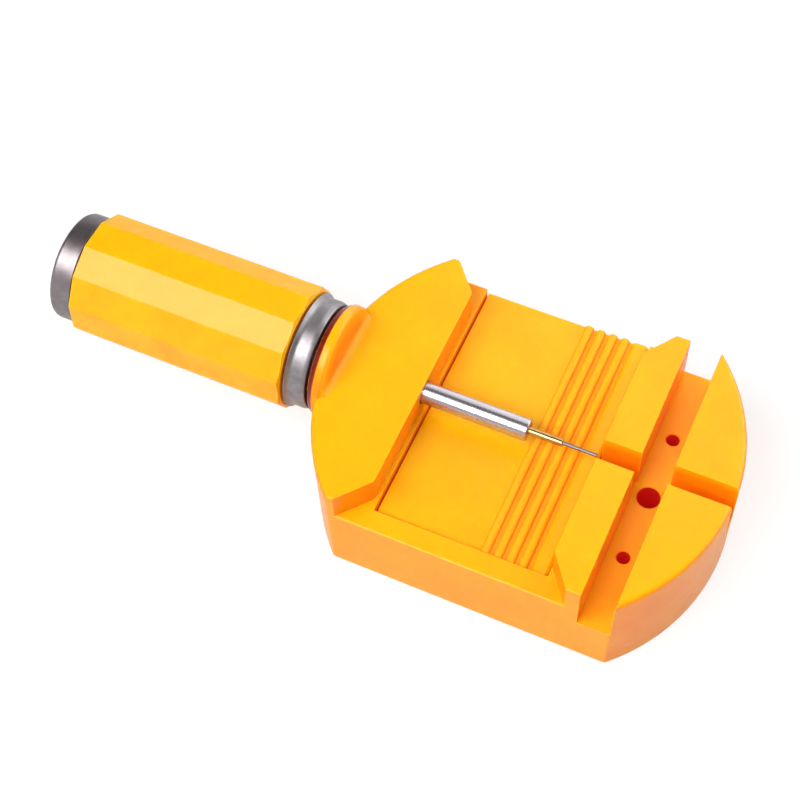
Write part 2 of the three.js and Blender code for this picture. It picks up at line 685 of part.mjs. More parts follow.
// The triangles of that rod's side, whose rows join up one pitch further on after each turn, and its two ends
function threadedRodSolid(fromX, toX) {
  const { rows, points } = threadedRod(fromX, toX);
  const faces = [];
  const at = (row, step) => (row + Math.floor(step / STEM_STEPS) * STEM_ROWS) * STEM_STEPS + (step % STEM_STEPS);
  const lastRow = rows - STEM_ROWS;
  for (let row = 0; row < lastRow; row += 1) {
    for (let step = 0; step < STEM_STEPS; step += 1) {
      const corners = [at(row, step), at(row, step + 1), at(row + 1, step + 1), at(row + 1, step)];
      faces.push(corners[0], corners[1], corners[2], corners[0], corners[2], corners[3]);
    }
  }
  const rearHub = points.length / 3;
  points.push(fromX - 2 * FEED_PITCH, 0, 0);
  const frontHub = rearHub + 1;
  points.push(toX + 2 * FEED_PITCH, 0, 0);
  const rearRim = [];
  const frontRim = [];
  for (let step = 0; step <= STEM_STEPS; step += 1) {
    rearRim.push(at(0, step));
    frontRim.push(at(lastRow, step));
  }
  for (let row = STEM_ROWS - 1; row > 0; row -= 1) {
    rearRim.push(at(row, 0));
    frontRim.push(at(lastRow + row, 0));
  }
  rearRim.forEach((corner, index) => {
    faces.push(rearHub, rearRim[(index + 1) % rearRim.length], corner);
  });
  frontRim.forEach((corner, index) => {
    faces.push(frontHub, corner, frontRim[(index + 1) % frontRim.length]);
  });
  const geometry = new THREE.BufferGeometry();
  geometry.setAttribute("position", new THREE.Float32BufferAttribute(points, 3));
  geometry.setIndex(faces);
  return solidOf(geometry);
}

// The stem: a flange on the neck, a threaded tube behind it and a bore for the rod
function threadedStem() {
  const rear = -STEM_FRONT - STEM_LENGTH;
  const flangeRear = -STEM_FRONT - STEM_FLANGE_THICKNESS;
  const thread = threadedRodSolid(rear, flangeRear).intersect(bar(STEM_FLANGE_RADIUS, rear, flangeRear + CLEARANCE));
  const flange = bar(STEM_FLANGE_RADIUS, flangeRear, -STEM_FRONT);
  const bore = bar(ROD_RADIUS + CLEARANCE, rear - OVERRUN, -STEM_FRONT + OVERRUN, SMALL_STEPS);
  const seats = stemScrewPlaces().map(([y, z]) => stemScrewSeat(y, z));
  return [bore, ...seats].reduce((solid, cut) => solid.subtract(cut), thread.add(flange));
}

// A countersunk hole through the stem's flange
function stemScrewSeat(y, z) {
  const rear = -STEM_FRONT - STEM_FLANGE_THICKNESS;
  const mouth = STEM_SCREW_HEAD_RADIUS + CLEARANCE;
  const hole = STEM_SCREW_SHANK_RADIUS + CLEARANCE;
  const seat = turned(
    [
      [rear - OVERRUN, 0],
      [rear - OVERRUN, mouth],
      [rear + SEAT_EASE, mouth],
      [rear + SEAT_EASE + STEM_SCREW_HEAD_HEIGHT, hole],
      [-STEM_FRONT + OVERRUN, hole],
      [-STEM_FRONT + OVERRUN, 0],
    ],
    TINY_STEPS,
  );
  return seat.translate([0, y, z]);
}

// A stem screw that points up, to be laid along X by its mesh
function stemScrew() {
  return countersunkScrew(
    STEM_SCREW_HEAD_RADIUS,
    STEM_SCREW_HEAD_HEIGHT,
    STEM_SCREW_SHANK_RADIUS,
    STEM_SCREW_LENGTH,
  );
}

// The push rod, bored for the driver in front and turned down behind for its locknut
function pushRod() {
  const tailEnd = -ROD_REAR - ROD_TAIL_LENGTH;
  const rod = turned([
    [tailEnd, 0],
    [tailEnd, ROD_TAIL_RADIUS],
    [-ROD_REAR, ROD_TAIL_RADIUS],
    [-ROD_REAR, ROD_RADIUS],
    [ROD_FRONT - ROD_END_CHAMFER, ROD_RADIUS],
    [ROD_FRONT, ROD_RADIUS - ROD_END_CHAMFER],
    [ROD_FRONT, 0],
  ]);
  return rod.subtract(bar(ROD_BORE_RADIUS, ROD_FRONT - ROD_BORE_DEPTH, ROD_FRONT + OVERRUN, SMALL_STEPS));
}

// A driver's brass holder, its shoulder at zero: the tail runs back and the nose forward
function driverHolder() {
  const holder = turned(
    [
      [-HOLDER_TAIL, 0],
      [-HOLDER_TAIL, HOLDER_RADIUS],
      [HOLDER_STICKOUT - HOLDER_CHAMFER, HOLDER_RADIUS],
      [HOLDER_STICKOUT, HOLDER_RADIUS - HOLDER_CHAMFER],
      [HOLDER_STICKOUT, 0],
    ],
    SMALL_STEPS,
  );
  const bore = bar(
    PIN_RADIUS + PIN_BORE_GAP, HOLDER_STICKOUT - PIN_SEAT - PIN_BORE_GAP, HOLDER_STICKOUT + OVERRUN, TINY_STEPS,
  );
  return holder.subtract(bore);
}

// A driver's steel pin, in the same frame as its holder
function driverPin() {
  const tip = HOLDER_STICKOUT + PIN_STICKOUT;
  return turned(
    [
      [HOLDER_STICKOUT - PIN_SEAT, 0],
      [HOLDER_STICKOUT - PIN_SEAT, PIN_RADIUS],
      [tip - PIN_BORE_GAP, PIN_RADIUS],
      [tip, PIN_RADIUS - PIN_BORE_GAP],
      [tip, 0],
    ],
    TINY_STEPS,
  );
}

// The steel collar: a waisted ring, a rounded shoulder against the grip and a threaded spigot inside it
function handleCollar() {
  const ringRear = -COLLAR_FRONT - COLLAR_RING_LENGTH;
  const ringMiddle = -COLLAR_FRONT - COLLAR_RING_LENGTH / 2;
  const spigotRear = -COLLAR_REAR - COLLAR_SPIGOT_LENGTH;
  const recess = -COLLAR_FRONT - COLLAR_RECESS_DEPTH;
  const outer = turned([
    [spigotRear, 0],
    [spigotRear, COLLAR_SPIGOT_RADIUS],
    [-COLLAR_REAR, COLLAR_SPIGOT_RADIUS],
    [-COLLAR_REAR, COLLAR_SHOULDER_RADIUS],
    [-COLLAR_REAR + COLLAR_SHOULDER_LENGTH / 2, COLLAR_SHOULDER_RADIUS],
    [ringRear - COLLAR_LIP / 3, COLLAR_RADIUS + COLLAR_LIP],
    [ringRear + COLLAR_LIP, COLLAR_RADIUS],
    [ringMiddle, COLLAR_RADIUS - COLLAR_WAIST],
    [-COLLAR_FRONT - 2 * COLLAR_LIP, COLLAR_RADIUS],
    [-COLLAR_FRONT - COLLAR_LIP, COLLAR_RADIUS],
    [-COLLAR_FRONT, COLLAR_RADIUS - COLLAR_LIP],
    [-COLLAR_FRONT, 0],
  ], LARGE_STEPS);
  const thread = bar(STEM_CREST_RADIUS + CLEARANCE, spigotRear - OVERRUN, -COLLAR_FRONT + OVERRUN);
  const room = bar(STEM_FLANGE_RADIUS + 2 * CLEARANCE, recess, -COLLAR_FRONT + OVERRUN);
  return outer.subtract(thread).subtract(room);
}

// The grip's twelve-sided bar, its front corners taken down to a round edge
function gripBar() {
  const length = GRIP_REAR - GRIP_FRONT;
  const sides = new THREE.CylinderGeometry(GRIP_RADIUS, GRIP_RADIUS, length, GRIP_SIDES);
  sides.rotateZ(-Math.PI / 2);
  sides.rotateX(GRIP_TURN);
  sides.translate(-(GRIP_REAR + GRIP_FRONT) / 2, 0, 0);
  const cone = turned(
    [
      [-GRIP_REAR - OVERRUN, 0],
      [-GRIP_REAR - OVERRUN, GRIP_RADIUS],
      [-GRIP_FRONT - GRIP_FRONT_CHAMFER, GRIP_RADIUS],
      [-GRIP_FRONT, GRIP_FLAT_RADIUS],
      [-GRIP_FRONT, 0],
    ],
    LARGE_STEPS,
  );
  return solidOf(sides).intersect(cone);
}

// Angles of the spare drivers round the axis
function spareAngles() {
  return Array.from({ length: SPARES }, (_, index) => (index * 2 * Math.PI) / SPARES);
}

// The grip: a bore for the collar, a chamber for the stem, a bulkhead and a store for the spares
function handleGrip() {
  const bulkheadFront = -BULKHEAD_REAR + BULKHEAD_THICKNESS;
  const collarSeat = -COLLAR_REAR - COLLAR_SPIGOT_LENGTH - CLEARANCE;
  const cuts = [
    bar(COLLAR_SPIGOT_RADIUS + CLEARANCE, collarSeat, -GRIP_FRONT + OVERRUN),
    bar(GRIP_CHAMBER_RADIUS, bulkheadFront, -GRIP_FRONT + OVERRUN),
    bar(GRIP_STORE_RADIUS, -GRIP_REAR - OVERRUN, -BULKHEAD_REAR),
    bar(ROD_TAIL_RADIUS + CLEARANCE, -BULKHEAD_REAR - OVERRUN, bulkheadFront + OVERRUN, SMALL_STEPS),
    ...spareAngles().map((angle) => spareSocket(angle)),
  ];
  return cuts.reduce((solid, cut) => solid.subtract(cut), gripBar());
}

// A blind socket in the bulkhead for a spare driver's tail
function spareSocket(angle) {
  const socket = bar(
    HOLDER_RADIUS + CLEARANCE, -BULKHEAD_REAR - OVERRUN, -BULKHEAD_REAR + SPARE_SOCKET_DEPTH, TINY_STEPS,
  );
  return socket.translate([0, SPARE_CIRCLE * Math.sin(angle), SPARE_CIRCLE * Math.cos(angle)]);
}

// A thrust washer, its rear face at zero
function thrustWasher() {
  const washer = bar(WASHER_RADIUS, 0, WASHER_THICKNESS, SMALL_STEPS);
  return washer.subtract(bar(ROD_TAIL_RADIUS + CLEARANCE, -OVERRUN, WASHER_THICKNESS + OVERRUN, SMALL_STEPS));
}

// The locknut on the rod's tail, its rear face at zero
function locknut() {
  const nut = bar(LOCKNUT_CORNER_RADIUS, 0, LOCKNUT_THICKNESS, LOCKNUT_SIDES);
  return nut.subtract(bar(ROD_TAIL_RADIUS + CLEARANCE, -OVERRUN, LOCKNUT_THICKNESS + OVERRUN, SMALL_STEPS));
}

// The end cap: a steel cup with a rounded rear edge and a threaded spigot inside the grip
function endCap() {
  const spigotRadius = GRIP_STORE_RADIUS - CLEARANCE;
  const spigotFront = -CAP_FRONT + CAP_SPIGOT_LENGTH;
  const outer = turned([
    [-CAP_REAR, 0],
    [-CAP_REAR, CAP_RADIUS - CAP_ROUND],
    [-CAP_REAR + CAP_ROUND * (1 - Math.cos(Math.PI / 6)), CAP_RADIUS - CAP_ROUND * (1 - Math.sin(Math.PI / 6))],
    [-CAP_REAR + CAP_ROUND * (1 - Math.cos(Math.PI / 3)), CAP_RADIUS - CAP_ROUND * (1 - Math.sin(Math.PI / 3))],
    [-CAP_REAR + CAP_ROUND, CAP_RADIUS],
    [-CAP_FRONT, CAP_RADIUS],
    [-CAP_FRONT, spigotRadius],
    [spigotFront, spigotRadius],
    [spigotFront, 0],
  ], LARGE_STEPS);
  return outer.subtract(bar(spigotRadius - CAP_SPIGOT_WALL, -CAP_REAR + CAP_WALL, spigotFront + OVERRUN));
}

// The head: everything that stays on the bench
function headGroup() {
  const head = new THREE.Group();
  head.add(piece("housing", housing(), YELLOW_PLASTIC));
  head.add(piece("base_plate", basePlate(), YELLOW_PLASTIC));
  head.add(piece("bracelet_tray", braceletTray(), YELLOW_TRAY));
  plateScrewPlaces().forEach(([x, y], index) => {
    const screw = piece(`base_screw_${index + 1}`, plateScrew(), PLATED_STEEL);
    screw.position.set(x, y, CLEARANCE);
    head.add(screw);
  });
  const wheel = piece("height_wheel", heightWheel(), YELLOW_PLASTIC);
  wheel.position.x = -WHEEL_PLACE;
  head.add(wheel);
  return head;
}

// A driver and its pin, placed by the shoulder of the holder
function driverGroup(holderName, pinName) {
  const driver = new THREE.Group();
  driver.add(piece(holderName, driverHolder(), BRASS));
  driver.add(piece(pinName, driverPin(), BRIGHT_STEEL));
  return driver;
}

// The stem and its screws, which stay with the head
function stemGroup() {
  const stem = new THREE.Group();
  stem.add(piece("threaded_stem", threadedStem(), PLATED_STEEL));
  stemScrewPlaces().forEach(([y, z], index) => {
    const screw = piece(`stem_screw_${index + 1}`, stemScrew(), PLATED_STEEL);
    screw.position.set(-STEM_FRONT - STEM_FLANGE_THICKNESS, y, z);
    screw.rotation.y = Math.PI / 2;
    stem.add(screw);
  });
  return stem;
}

// The rod with its driver, washers and locknut
function pusherGroup() {
  const pusher = new THREE.Group();
  pusher.add(piece("push_rod", pushRod(), BRIGHT_STEEL));
  const driver = driverGroup("driver_holder", "driver_pin");
  driver.position.x = ROD_FRONT;
  pusher.add(driver);
  const frontWasher = piece("front_washer", thrustWasher(), BRASS);
  frontWasher.position.x = -ROD_REAR - CLEARANCE - WASHER_THICKNESS;
  const rearWasher = piece("rear_washer", thrustWasher(), BRASS);
  rearWasher.position.x = -BULKHEAD_REAR - CLEARANCE - WASHER_THICKNESS;
  const nut = piece("rod_locknut", locknut(), PLATED_STEEL);
  nut.position.x = rearWasher.position.x - CLEARANCE - LOCKNUT_THICKNESS;
  pusher.add(frontWasher, rearWasher, nut);
  return pusher;
}

// The handle: grip, collar, cap and the spares inside
function handleGroup() {
  const handle = new THREE.Group();
  handle.add(piece("handle_grip", handleGrip(), YELLOW_GRIP));
  handle.add(piece("handle_collar", handleCollar(), POLISHED_STEEL));
  handle.add(piece("end_cap", endCap(), POLISHED_STEEL));
  spareAngles().forEach((angle, index) => {
    const spare = driverGroup(`spare_holder_${index + 1}`, `spare_pin_${index + 1}`);
    const tailEnd = -BULKHEAD_REAR + SPARE_SOCKET_DEPTH - CLEARANCE;
    spare.position.set(tailEnd - HOLDER_TAIL, SPARE_CIRCLE * Math.sin(angle), SPARE_CIRCLE * Math.cos(angle));
    spare.rotation.z = Math.PI;
    handle.add(spare);
  });
  return handle;
}

// The whole tool, set so that its middle lies over the origin
function linkRemover() {
  const tool = new THREE.Group();
  tool.position.x = (CAP_REAR - BLOCK_RADIUS) / 2;
  const feedLine = new THREE.Group();
  feedLine.position.z = FEED_HEIGHT;
  feedLine.add(stemGroup(), pusherGroup(), handleGroup());
  tool.add(headGroup(), feedLine);
  return tool;
}

export default linkRemover();
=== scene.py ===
"""Watch link remover: the looks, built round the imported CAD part.

Sizes are in millimetres. They count from the centre of the moulded block along X, from the middle along Y and
from the bench along Z, until place() turns them into the frame's metres.
"""

import sys
import logging
import math
from collections.abc import Callable, Iterator
from contextlib import contextmanager
from dataclasses import dataclass
from enum import Enum

import bmesh
import bpy
from mathutils import Matrix, Vector


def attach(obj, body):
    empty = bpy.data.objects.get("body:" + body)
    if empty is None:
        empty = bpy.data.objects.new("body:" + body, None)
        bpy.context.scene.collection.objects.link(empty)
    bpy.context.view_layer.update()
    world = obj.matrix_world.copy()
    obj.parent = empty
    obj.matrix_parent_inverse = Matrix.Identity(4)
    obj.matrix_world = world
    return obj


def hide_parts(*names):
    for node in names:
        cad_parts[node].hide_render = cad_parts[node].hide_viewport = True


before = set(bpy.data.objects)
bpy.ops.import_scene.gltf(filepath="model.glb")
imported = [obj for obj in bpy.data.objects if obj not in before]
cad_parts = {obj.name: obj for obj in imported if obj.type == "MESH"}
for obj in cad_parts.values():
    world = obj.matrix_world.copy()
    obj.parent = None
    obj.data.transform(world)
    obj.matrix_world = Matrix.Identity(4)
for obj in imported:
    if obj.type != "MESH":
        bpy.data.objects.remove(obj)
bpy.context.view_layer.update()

LOG = logging.getLogger("link_remover")

Span = tuple[float, float]
Point = tuple[float, float, float] | Vector
Colour = tuple[float, float, float]
Shape = bpy.types.Object

MM = 0.001
BLOCK_CENTRE = 32.9  # how far the block's centre lies before the frame's origin
BLOCK_HEIGHT = 27.2
FLAT_Y = 34.0
FEED_HEIGHT = 23.8  # the line that the rod and the handle share
FEED_LINE = (0.0, 0.0, FEED_HEIGHT)
NECK_LINE = (0.0, 0.0, 23.4)
LIFT_X = -3.7  # where the lift wheel and the tray's boss stand
CHANNEL_MIDDLE = 28.525
HOLES = ((0.0, 2.6), (-15.8, 1.5), (15.8, 1.5))  # the channel's holes: Y and radius
GAP = 0.3  # between pieces that touch
CLOSE = 0.01  # as good as the same place
PAST = 1.0  # how far a cutting solid reaches past what it cuts


class Axis(Enum):
    """The direction that a round piece or a prism runs along."""

    ALONG = Vector((1, 0, 0))
    ACROSS = Vector((0, 1, 0))
    UP = Vector((0, 0, 1))


class Join(Enum):
    """How one solid is put to another."""

    CUT = "DIFFERENCE"
    ADD = "UNION"
    KEEP = "INTERSECT"


@dataclass(frozen=True)
class Corner:
    """A corner of an outline, and how far it is rounded."""

    a: float
    b: float
    ease: float = 0.0


@dataclass
class Piece:
    """A finished piece, with what it rides on and what it stands for."""

    shape: Shape
    body: str
    slot: str
    nodes: tuple[str, ...]

    def twin(self, name: str, shift: Vector, body: str, node: str) -> "Piece":
        """A piece of the same kind, with its own mesh.

        Args:
            name: Its name.
            shift: How far it is moved, in millimetres.
            body: What it rides on.
            node: What it stands for.

        Returns:
            The new piece.
        """
        shape = self.shape.copy()
        shape.data = self.shape.data.copy()
        shape.name = shape.data.name = name
        bpy.context.scene.collection.objects.link(shape)
        with shaping(shape):
            pick_all()
            bpy.ops.transform.translate(value=shift * MM)
        return Piece(shape, body, self.slot, (node,))


# hand tools


def place(x: float, y: float, z: float) -> Vector:
    """The frame's point, in metres, for a point in millimetres from the block's centre."""
    return Vector(((x + BLOCK_CENTRE) * MM, y * MM, z * MM))


def measured(point: Vector) -> Vector:
    """The point in millimetres from the block's centre, for a point of the frame."""
    return point / MM - Vector((BLOCK_CENTRE, 0, 0))


def on_circle(radius: float, *turns: float) -> list[Span]:
    """Points on a circle, each at a share of a full turn from straight up."""
    return [(radius * math.sin(turn * math.tau), radius * math.cos(turn * math.tau)) for turn in turns]


STEM_SCREWS = on_circle(7.7, 1 / 2, 2 / 3, 1 / 3)
SPARES = on_circle(6.9, 0, 1 / 3, 2 / 3)


def new_shape(name: str) -> Shape:
    """Names the object that was just added, and moves its place into its mesh.

    Args:
        name: The name of the object and its mesh.

    Returns:
        The object.
    """
    shape = bpy.context.object
    shape.name = name
    shape.data.name = name
    bpy.ops.object.transform_apply(location=True, rotation=True, scale=True)
    return shape


def lay_aside() -> None:
    """Deselects every object."""
    bpy.ops.object.select_all(action="DESELECT")


def take_up(shape: Shape) -> None:
    """Selects one object alone and makes it the active one."""
    lay_aside()
    shape.select_set(True)
    bpy.context.view_layer.objects.active = shape


@contextmanager
def shaping(shape: Shape, mode: str = "VERT") -> Iterator[None]:
    """Opens an object for work on its mesh, with nothing selected.

    Args:
        shape: The object.
        mode: What is selected while it is open: VERT, EDGE or FACE.

    Yields:
        Nothing.
    """
    take_up(shape)
    bpy.ops.object.mode_set(mode="EDIT")
    bpy.ops.mesh.select_mode(type=mode)
    bpy.ops.mesh.select_all(action="DESELECT")
    yield
    bpy.ops.object.mode_set(mode="OBJECT")


def pick_all() -> None:
    """Selects all of the open mesh."""
    bpy.ops.mesh.select_all(action="SELECT")


def pick_points(shape: Shape, wanted: Callable[[Vector], bool]) -> None:
    """Selects the points of an open mesh that pass a test.

    Args:
        shape: The object, open for shaping.
        wanted: The test, on a place in millimetres.
    """
    mesh = bmesh.from_edit_mesh(shape.data)
    for vert in mesh.verts:
        vert.select_set(wanted(measured(vert.co)))
    mesh.select_flush_mode()
    bmesh.update_edit_mesh(shape.data)


def pick_edges(shape: Shape, wanted: Callable[[Vector, Vector], bool]) -> None:
    """Selects the edges of an open mesh that pass a test.

    Args:
        shape: The object, open for shaping.
        wanted: The test, on both ends in millimetres.
    """
    mesh = bmesh.from_edit_mesh(shape.data)
    for edge in mesh.edges:
        edge.select_set(wanted(*(measured(vert.co) for vert in edge.verts)))
    bmesh.update_edit_mesh(shape.data)


def stretch(factor: Point, about: Vector) -> None:
    """Scales the selected points about a place."""
    bpy.ops.transform.resize(value=factor, center_override=about)


def trim(spot: Vector, outward: Point) -> None:
    """Cuts the open mesh along a plane, takes off what lies outwards of it and closes the cut."""
    pick_all()
    bpy.ops.mesh.bisect(plane_co=spot, plane_no=outward, use_fill=True, clear_outer=True)


def cut_flats(flat: float) -> None:
    """Trims both sides of the open mesh at a distance from the middle."""
    for side in (-1, 1):
        trim(place(0, side * flat, 0), (0, side, 0))


def close_up() -> None:
    """Merges doubled points of the open mesh and turns its faces outwards."""
    pick_all()
    bpy.ops.mesh.remove_doubles(threshold=1e-6)
    bpy.ops.mesh.normals_make_consistent(inside=False)


def eased(corners: list[Corner], closed: bool = False, steps: int = 4) -> list[Span]:
    """Rounds the corners of an outline.

    Args:
        corners: The outline's corners.
        closed: Whether the last corner joins the first.
        steps: How many steps each rounding has.

    Returns:
        The outline's points.
    """
    most = 0.49  # of a side that one rounding may take
    points: list[Span] = []
    spots = [Vector((corner.a, corner.b)) for corner in corners]
    for index, (corner, here) in enumerate(zip(corners, spots)):
        at_end = not closed and index in (0, len(spots) - 1)
        if corner.ease <= 0 or at_end:
            points.append(tuple(here))
            continue
        before = spots[index - 1] - here
        after = spots[(index + 1) % len(spots)] - here
        reach = min(corner.ease, before.length * most, after.length * most)
        start = here + before.normalized() * reach
        end = here + after.normalized() * reach
        for step in range(steps + 1):
            share = step / steps
            point = start * (1 - share) ** 2 + here * 2 * share * (1 - share) + end * share**2
            points.append(tuple(point))
    return points


def drawn_line(name: str, points: list[Vector]) -> Shape:
    """Draws a line of edges by extruding one point, and leaves it open for shaping.

    Args:
        name: The object's name.
        points: The line's points, in metres.

    Returns:
        The object, still in edit mode with all of it selected.
    """
    lay_aside()
    bpy.ops.mesh.primitive_plane_add(size=MM, location=points[0])
    shape = new_shape(name)
    bpy.ops.object.mode_set(mode="EDIT")
    bpy.ops.mesh.select_mode(type="VERT")
    pick_all()
    bpy.ops.mesh.merge(type="CENTER")
    for start, end in zip(points, points[1:]):
        bpy.ops.mesh.extrude_region_move(TRANSFORM_OT_translate={"value": end - start})
    pick_all()
    return shape


def turned(
    name: str, corners: list[Corner], steps: int, axis: Axis = Axis.ALONG, foot: Point = FEED_LINE
) -> Shape:
    """Turns a profile about an axis, as on a lathe.

    Args:
        name: The object's name.
        corners: The profile, as places along the axis and radii.
        steps: How many sides a round has.
        axis: The axis, along X or up.
        foot: The point that the places along the axis count from.

    Returns:
        The turned solid.
    """
    outward = Vector((0, 0, 1)) if axis is Axis.ALONG else Vector((1, 0, 0))
    places = [Vector(foot) + axis.value * along + outward * radius for along, radius in eased(corners)]
    shape = drawn_line(name, [place(*point) for point in places])
    bpy.ops.mesh.spin(steps=steps, angle=math.tau, center=place(*foot), axis=axis.value)
    close_up()
    bpy.ops.object.mode_set(mode="OBJECT")
    return shape


def prism(name: str, corners: list[Corner], axis: Axis, span: Span, steps: int = 4) -> Shape:
    """Pushes an outline up into a prism, or along Y.

    Args:
        name: The object's name.
        corners: The outline, in X and Y for an upright prism or in X and Z for one across.
        axis: The way it runs, up or across.
        span: Where it starts and ends.
        steps: How many steps the rounding of a corner has.

    Returns:
        The prism.
    """
    low, high = span
    points = eased(corners, True, steps)
    places = [place(a, b, low) if axis is Axis.UP else place(a, low, b) for a, b in points]
    shape = drawn_line(name, places)
    bpy.ops.mesh.edge_face_add()
    bpy.ops.mesh.extrude_region_move(TRANSFORM_OT_translate={"value": axis.value * (high - low) * MM})
    close_up()
    bpy.ops.object.mode_set(mode="OBJECT")
    return shape


def block(name: str, low: Point, high: Point) -> Shape:
    """A square-cut block, to cut with.

    Args:
        name: The object's name.
        low: Its lowest corner.
        high: Its highest corner.

    Returns:
        The block.
    """
    lay_aside()
    size = Vector(high) - Vector(low)
    middle = (Vector(high) + Vector(low)) / 2
    bpy.ops.mesh.primitive_cube_add(size=1, location=place(*middle), scale=size * MM)
    return new_shape(name)


def peg(name: str, radius: float, axis: Axis, foot: Point, length: float, sides: int = 48) -> Shape:
    """A round peg, to cut with or to shape further.

    Args:
        name: The object's name.
        radius: Its radius.
        axis: The way it runs, along X or up.
        foot: The point that it starts at.
        length: Its length.
        sides: How many sides it has.

    Returns:
        The peg.
    """
    lay_aside()
    middle = Vector(foot) + axis.value * length / 2
    turn = (0, math.pi / 2, 0) if axis is Axis.ALONG else (0, 0, 0)
    bpy.ops.mesh.primitive_cylinder_add(
        vertices=sides, radius=radius * MM, depth=length * MM, location=place(*middle), rotation=turn
    )
    return new_shape(name)


def put_together(body: Shape, tool: Shape, how: Join = Join.CUT) -> None:
    """Cuts, adds or keeps what a second solid covers, and throws the second one away.

    Args:
        body: The solid that is worked on.
        tool: The second solid.
        how: What is done with it.
    """
    take_up(body)
    modifier = body.modifiers.new("join", "BOOLEAN")
    modifier.operation = how.value
    modifier.solver = "EXACT"
    modifier.object = tool
    bpy.ops.object.modifier_apply(modifier=modifier.name)
    bpy.data.objects.remove(tool)


def ease_edges(
    shape: Shape,
    width: float,
    share_of: Callable[[Vector, Vector], float] = lambda start, end: 1.0,
    segments: int = 2,
    sharp: float = 28.0,
) -> None:
    """Rounds the sharp outer edges of a solid.

    Args:
        shape: The solid.
        width: The widest rounding.
        share_of: The share of that width which an edge gets, from its two ends in millimetres.
        segments: How many steps a rounding has.
        sharp: The angle, in degrees, from which an edge counts as sharp.
    """
    mesh = bmesh.new()
    mesh.from_mesh(shape.data)
    layers = mesh.edges.layers.float
    weights = layers.get("bevel_weight_edge") or layers.new("bevel_weight_edge")
    for edge in mesh.edges:
        is_sharp = edge.is_convex and edge.calc_face_angle(0.0) > math.radians(sharp)
        edge[weights] = share_of(*(measured(vert.co) for vert in edge.verts)) if is_sharp else 0.0
    mesh.to_mesh(shape.data)
    mesh.free()
    take_up(shape)
    modifier = shape.modifiers.new("ease", "BEVEL")
    modifier.limit_method = "WEIGHT"
    modifier.width = width * MM
    modifier.segments = segments
    modifier.use_clamp_overlap = False
    modifier.loop_slide = False
    bpy.ops.object.modifier_apply(modifier=modifier.name)


def finished(
    shape: Shape, material: bpy.types.Material, body: str, slot: str, node: str, angle: float = 32.0
) -> Piece:
    """Makes a solid a piece: smooth where its faces meet at less than an angle, and dressed.

    Args:
        shape: The solid.
        material: Its one material.
        body: What it rides on.
        slot: The slot of its material.
        node: The CAD node that it stands for.
        angle: The angle in degrees.

    Returns:
        The piece.
    """
    take_up(shape)
    bpy.ops.object.shade_smooth_by_angle(angle=math.radians(angle))
    modifier = shape.modifiers.new("faces", "WEIGHTED_NORMAL")
    modifier.keep_sharp = True
    bpy.ops.object.modifier_apply(modifier=modifier.name)
    shape.data.materials.clear()
    shape.data.materials.append(material)
    return Piece(shape, body, slot, (node,))


# shader sums


class Wire:
    """A value in a shader, with which sums are written as in Python."""

    def __init__(self, board: "Board", socket: bpy.types.NodeSocket) -> None:
        """Keeps the socket and the board that it is on."""
        self.board = board
        self.socket = socket

    def sum(self, operation: str, *values: "Wire | float") -> "Wire":
        """The outcome of one Math node with an operation and the values that go into it."""
        return self.board.node("ShaderNodeMath", {"operation": operation}, dict(enumerate(values)))["Value"]

    def __add__(self, other: "Wire | float") -> "Wire":
        """self + other."""
        return self.sum("ADD", self, other)

    def __radd__(self, other: float) -> "Wire":
        """other + self."""
        return self.sum("ADD", other, self)

    def __sub__(self, other: "Wire | float") -> "Wire":
        """self - other."""
        return self.sum("SUBTRACT", self, other)

    def __rsub__(self, other: float) -> "Wire":
        """other - self."""
        return self.sum("SUBTRACT", other, self)

    def __mul__(self, other: "Wire | float") -> "Wire":
        """self * other."""
        return self.sum("MULTIPLY", self, other)

    def __rmul__(self, other: float) -> "Wire":
        """other * self."""
        return self.sum("MULTIPLY", other, self)

    def __truediv__(self, other: "Wire | float") -> "Wire":
        """self / other."""
        return self.sum("DIVIDE", self, other)

    def __pow__(self, power: float) -> "Wire":
        """self ** power."""
        return self.sum("POWER", self, power)

    def __abs__(self) -> "Wire":
        """abs(self)."""
        return self.sum("ABSOLUTE", self)

    def held(self) -> "Wire":
        """The value, kept between 0 and 1."""
        return self.board.node("ShaderNodeClamp", None, {"Value": self})["Result"]

    def ramp(self, low: float, high: float) -> "Wire":
        """A smooth rise from 0 at low to 1 at high."""
        inputs = {"Value": self, "From Min": low, "From Max": high}
        return self.board.node("ShaderNodeMapRange", {"interpolation_type": "SMOOTHSTEP"}, inputs)["Result"]

    def fall(self, low: float, high: float) -> "Wire":
        """A smooth fall from 1 at low to 0 at high."""
        return 1 - self.ramp(low, high)

    def within(self, rise: Span, fall: Span) -> "Wire":
        """1 between a smooth rise and a smooth fall, and 0 outside them."""
        return self.ramp(*rise) * self.fall(*fall)


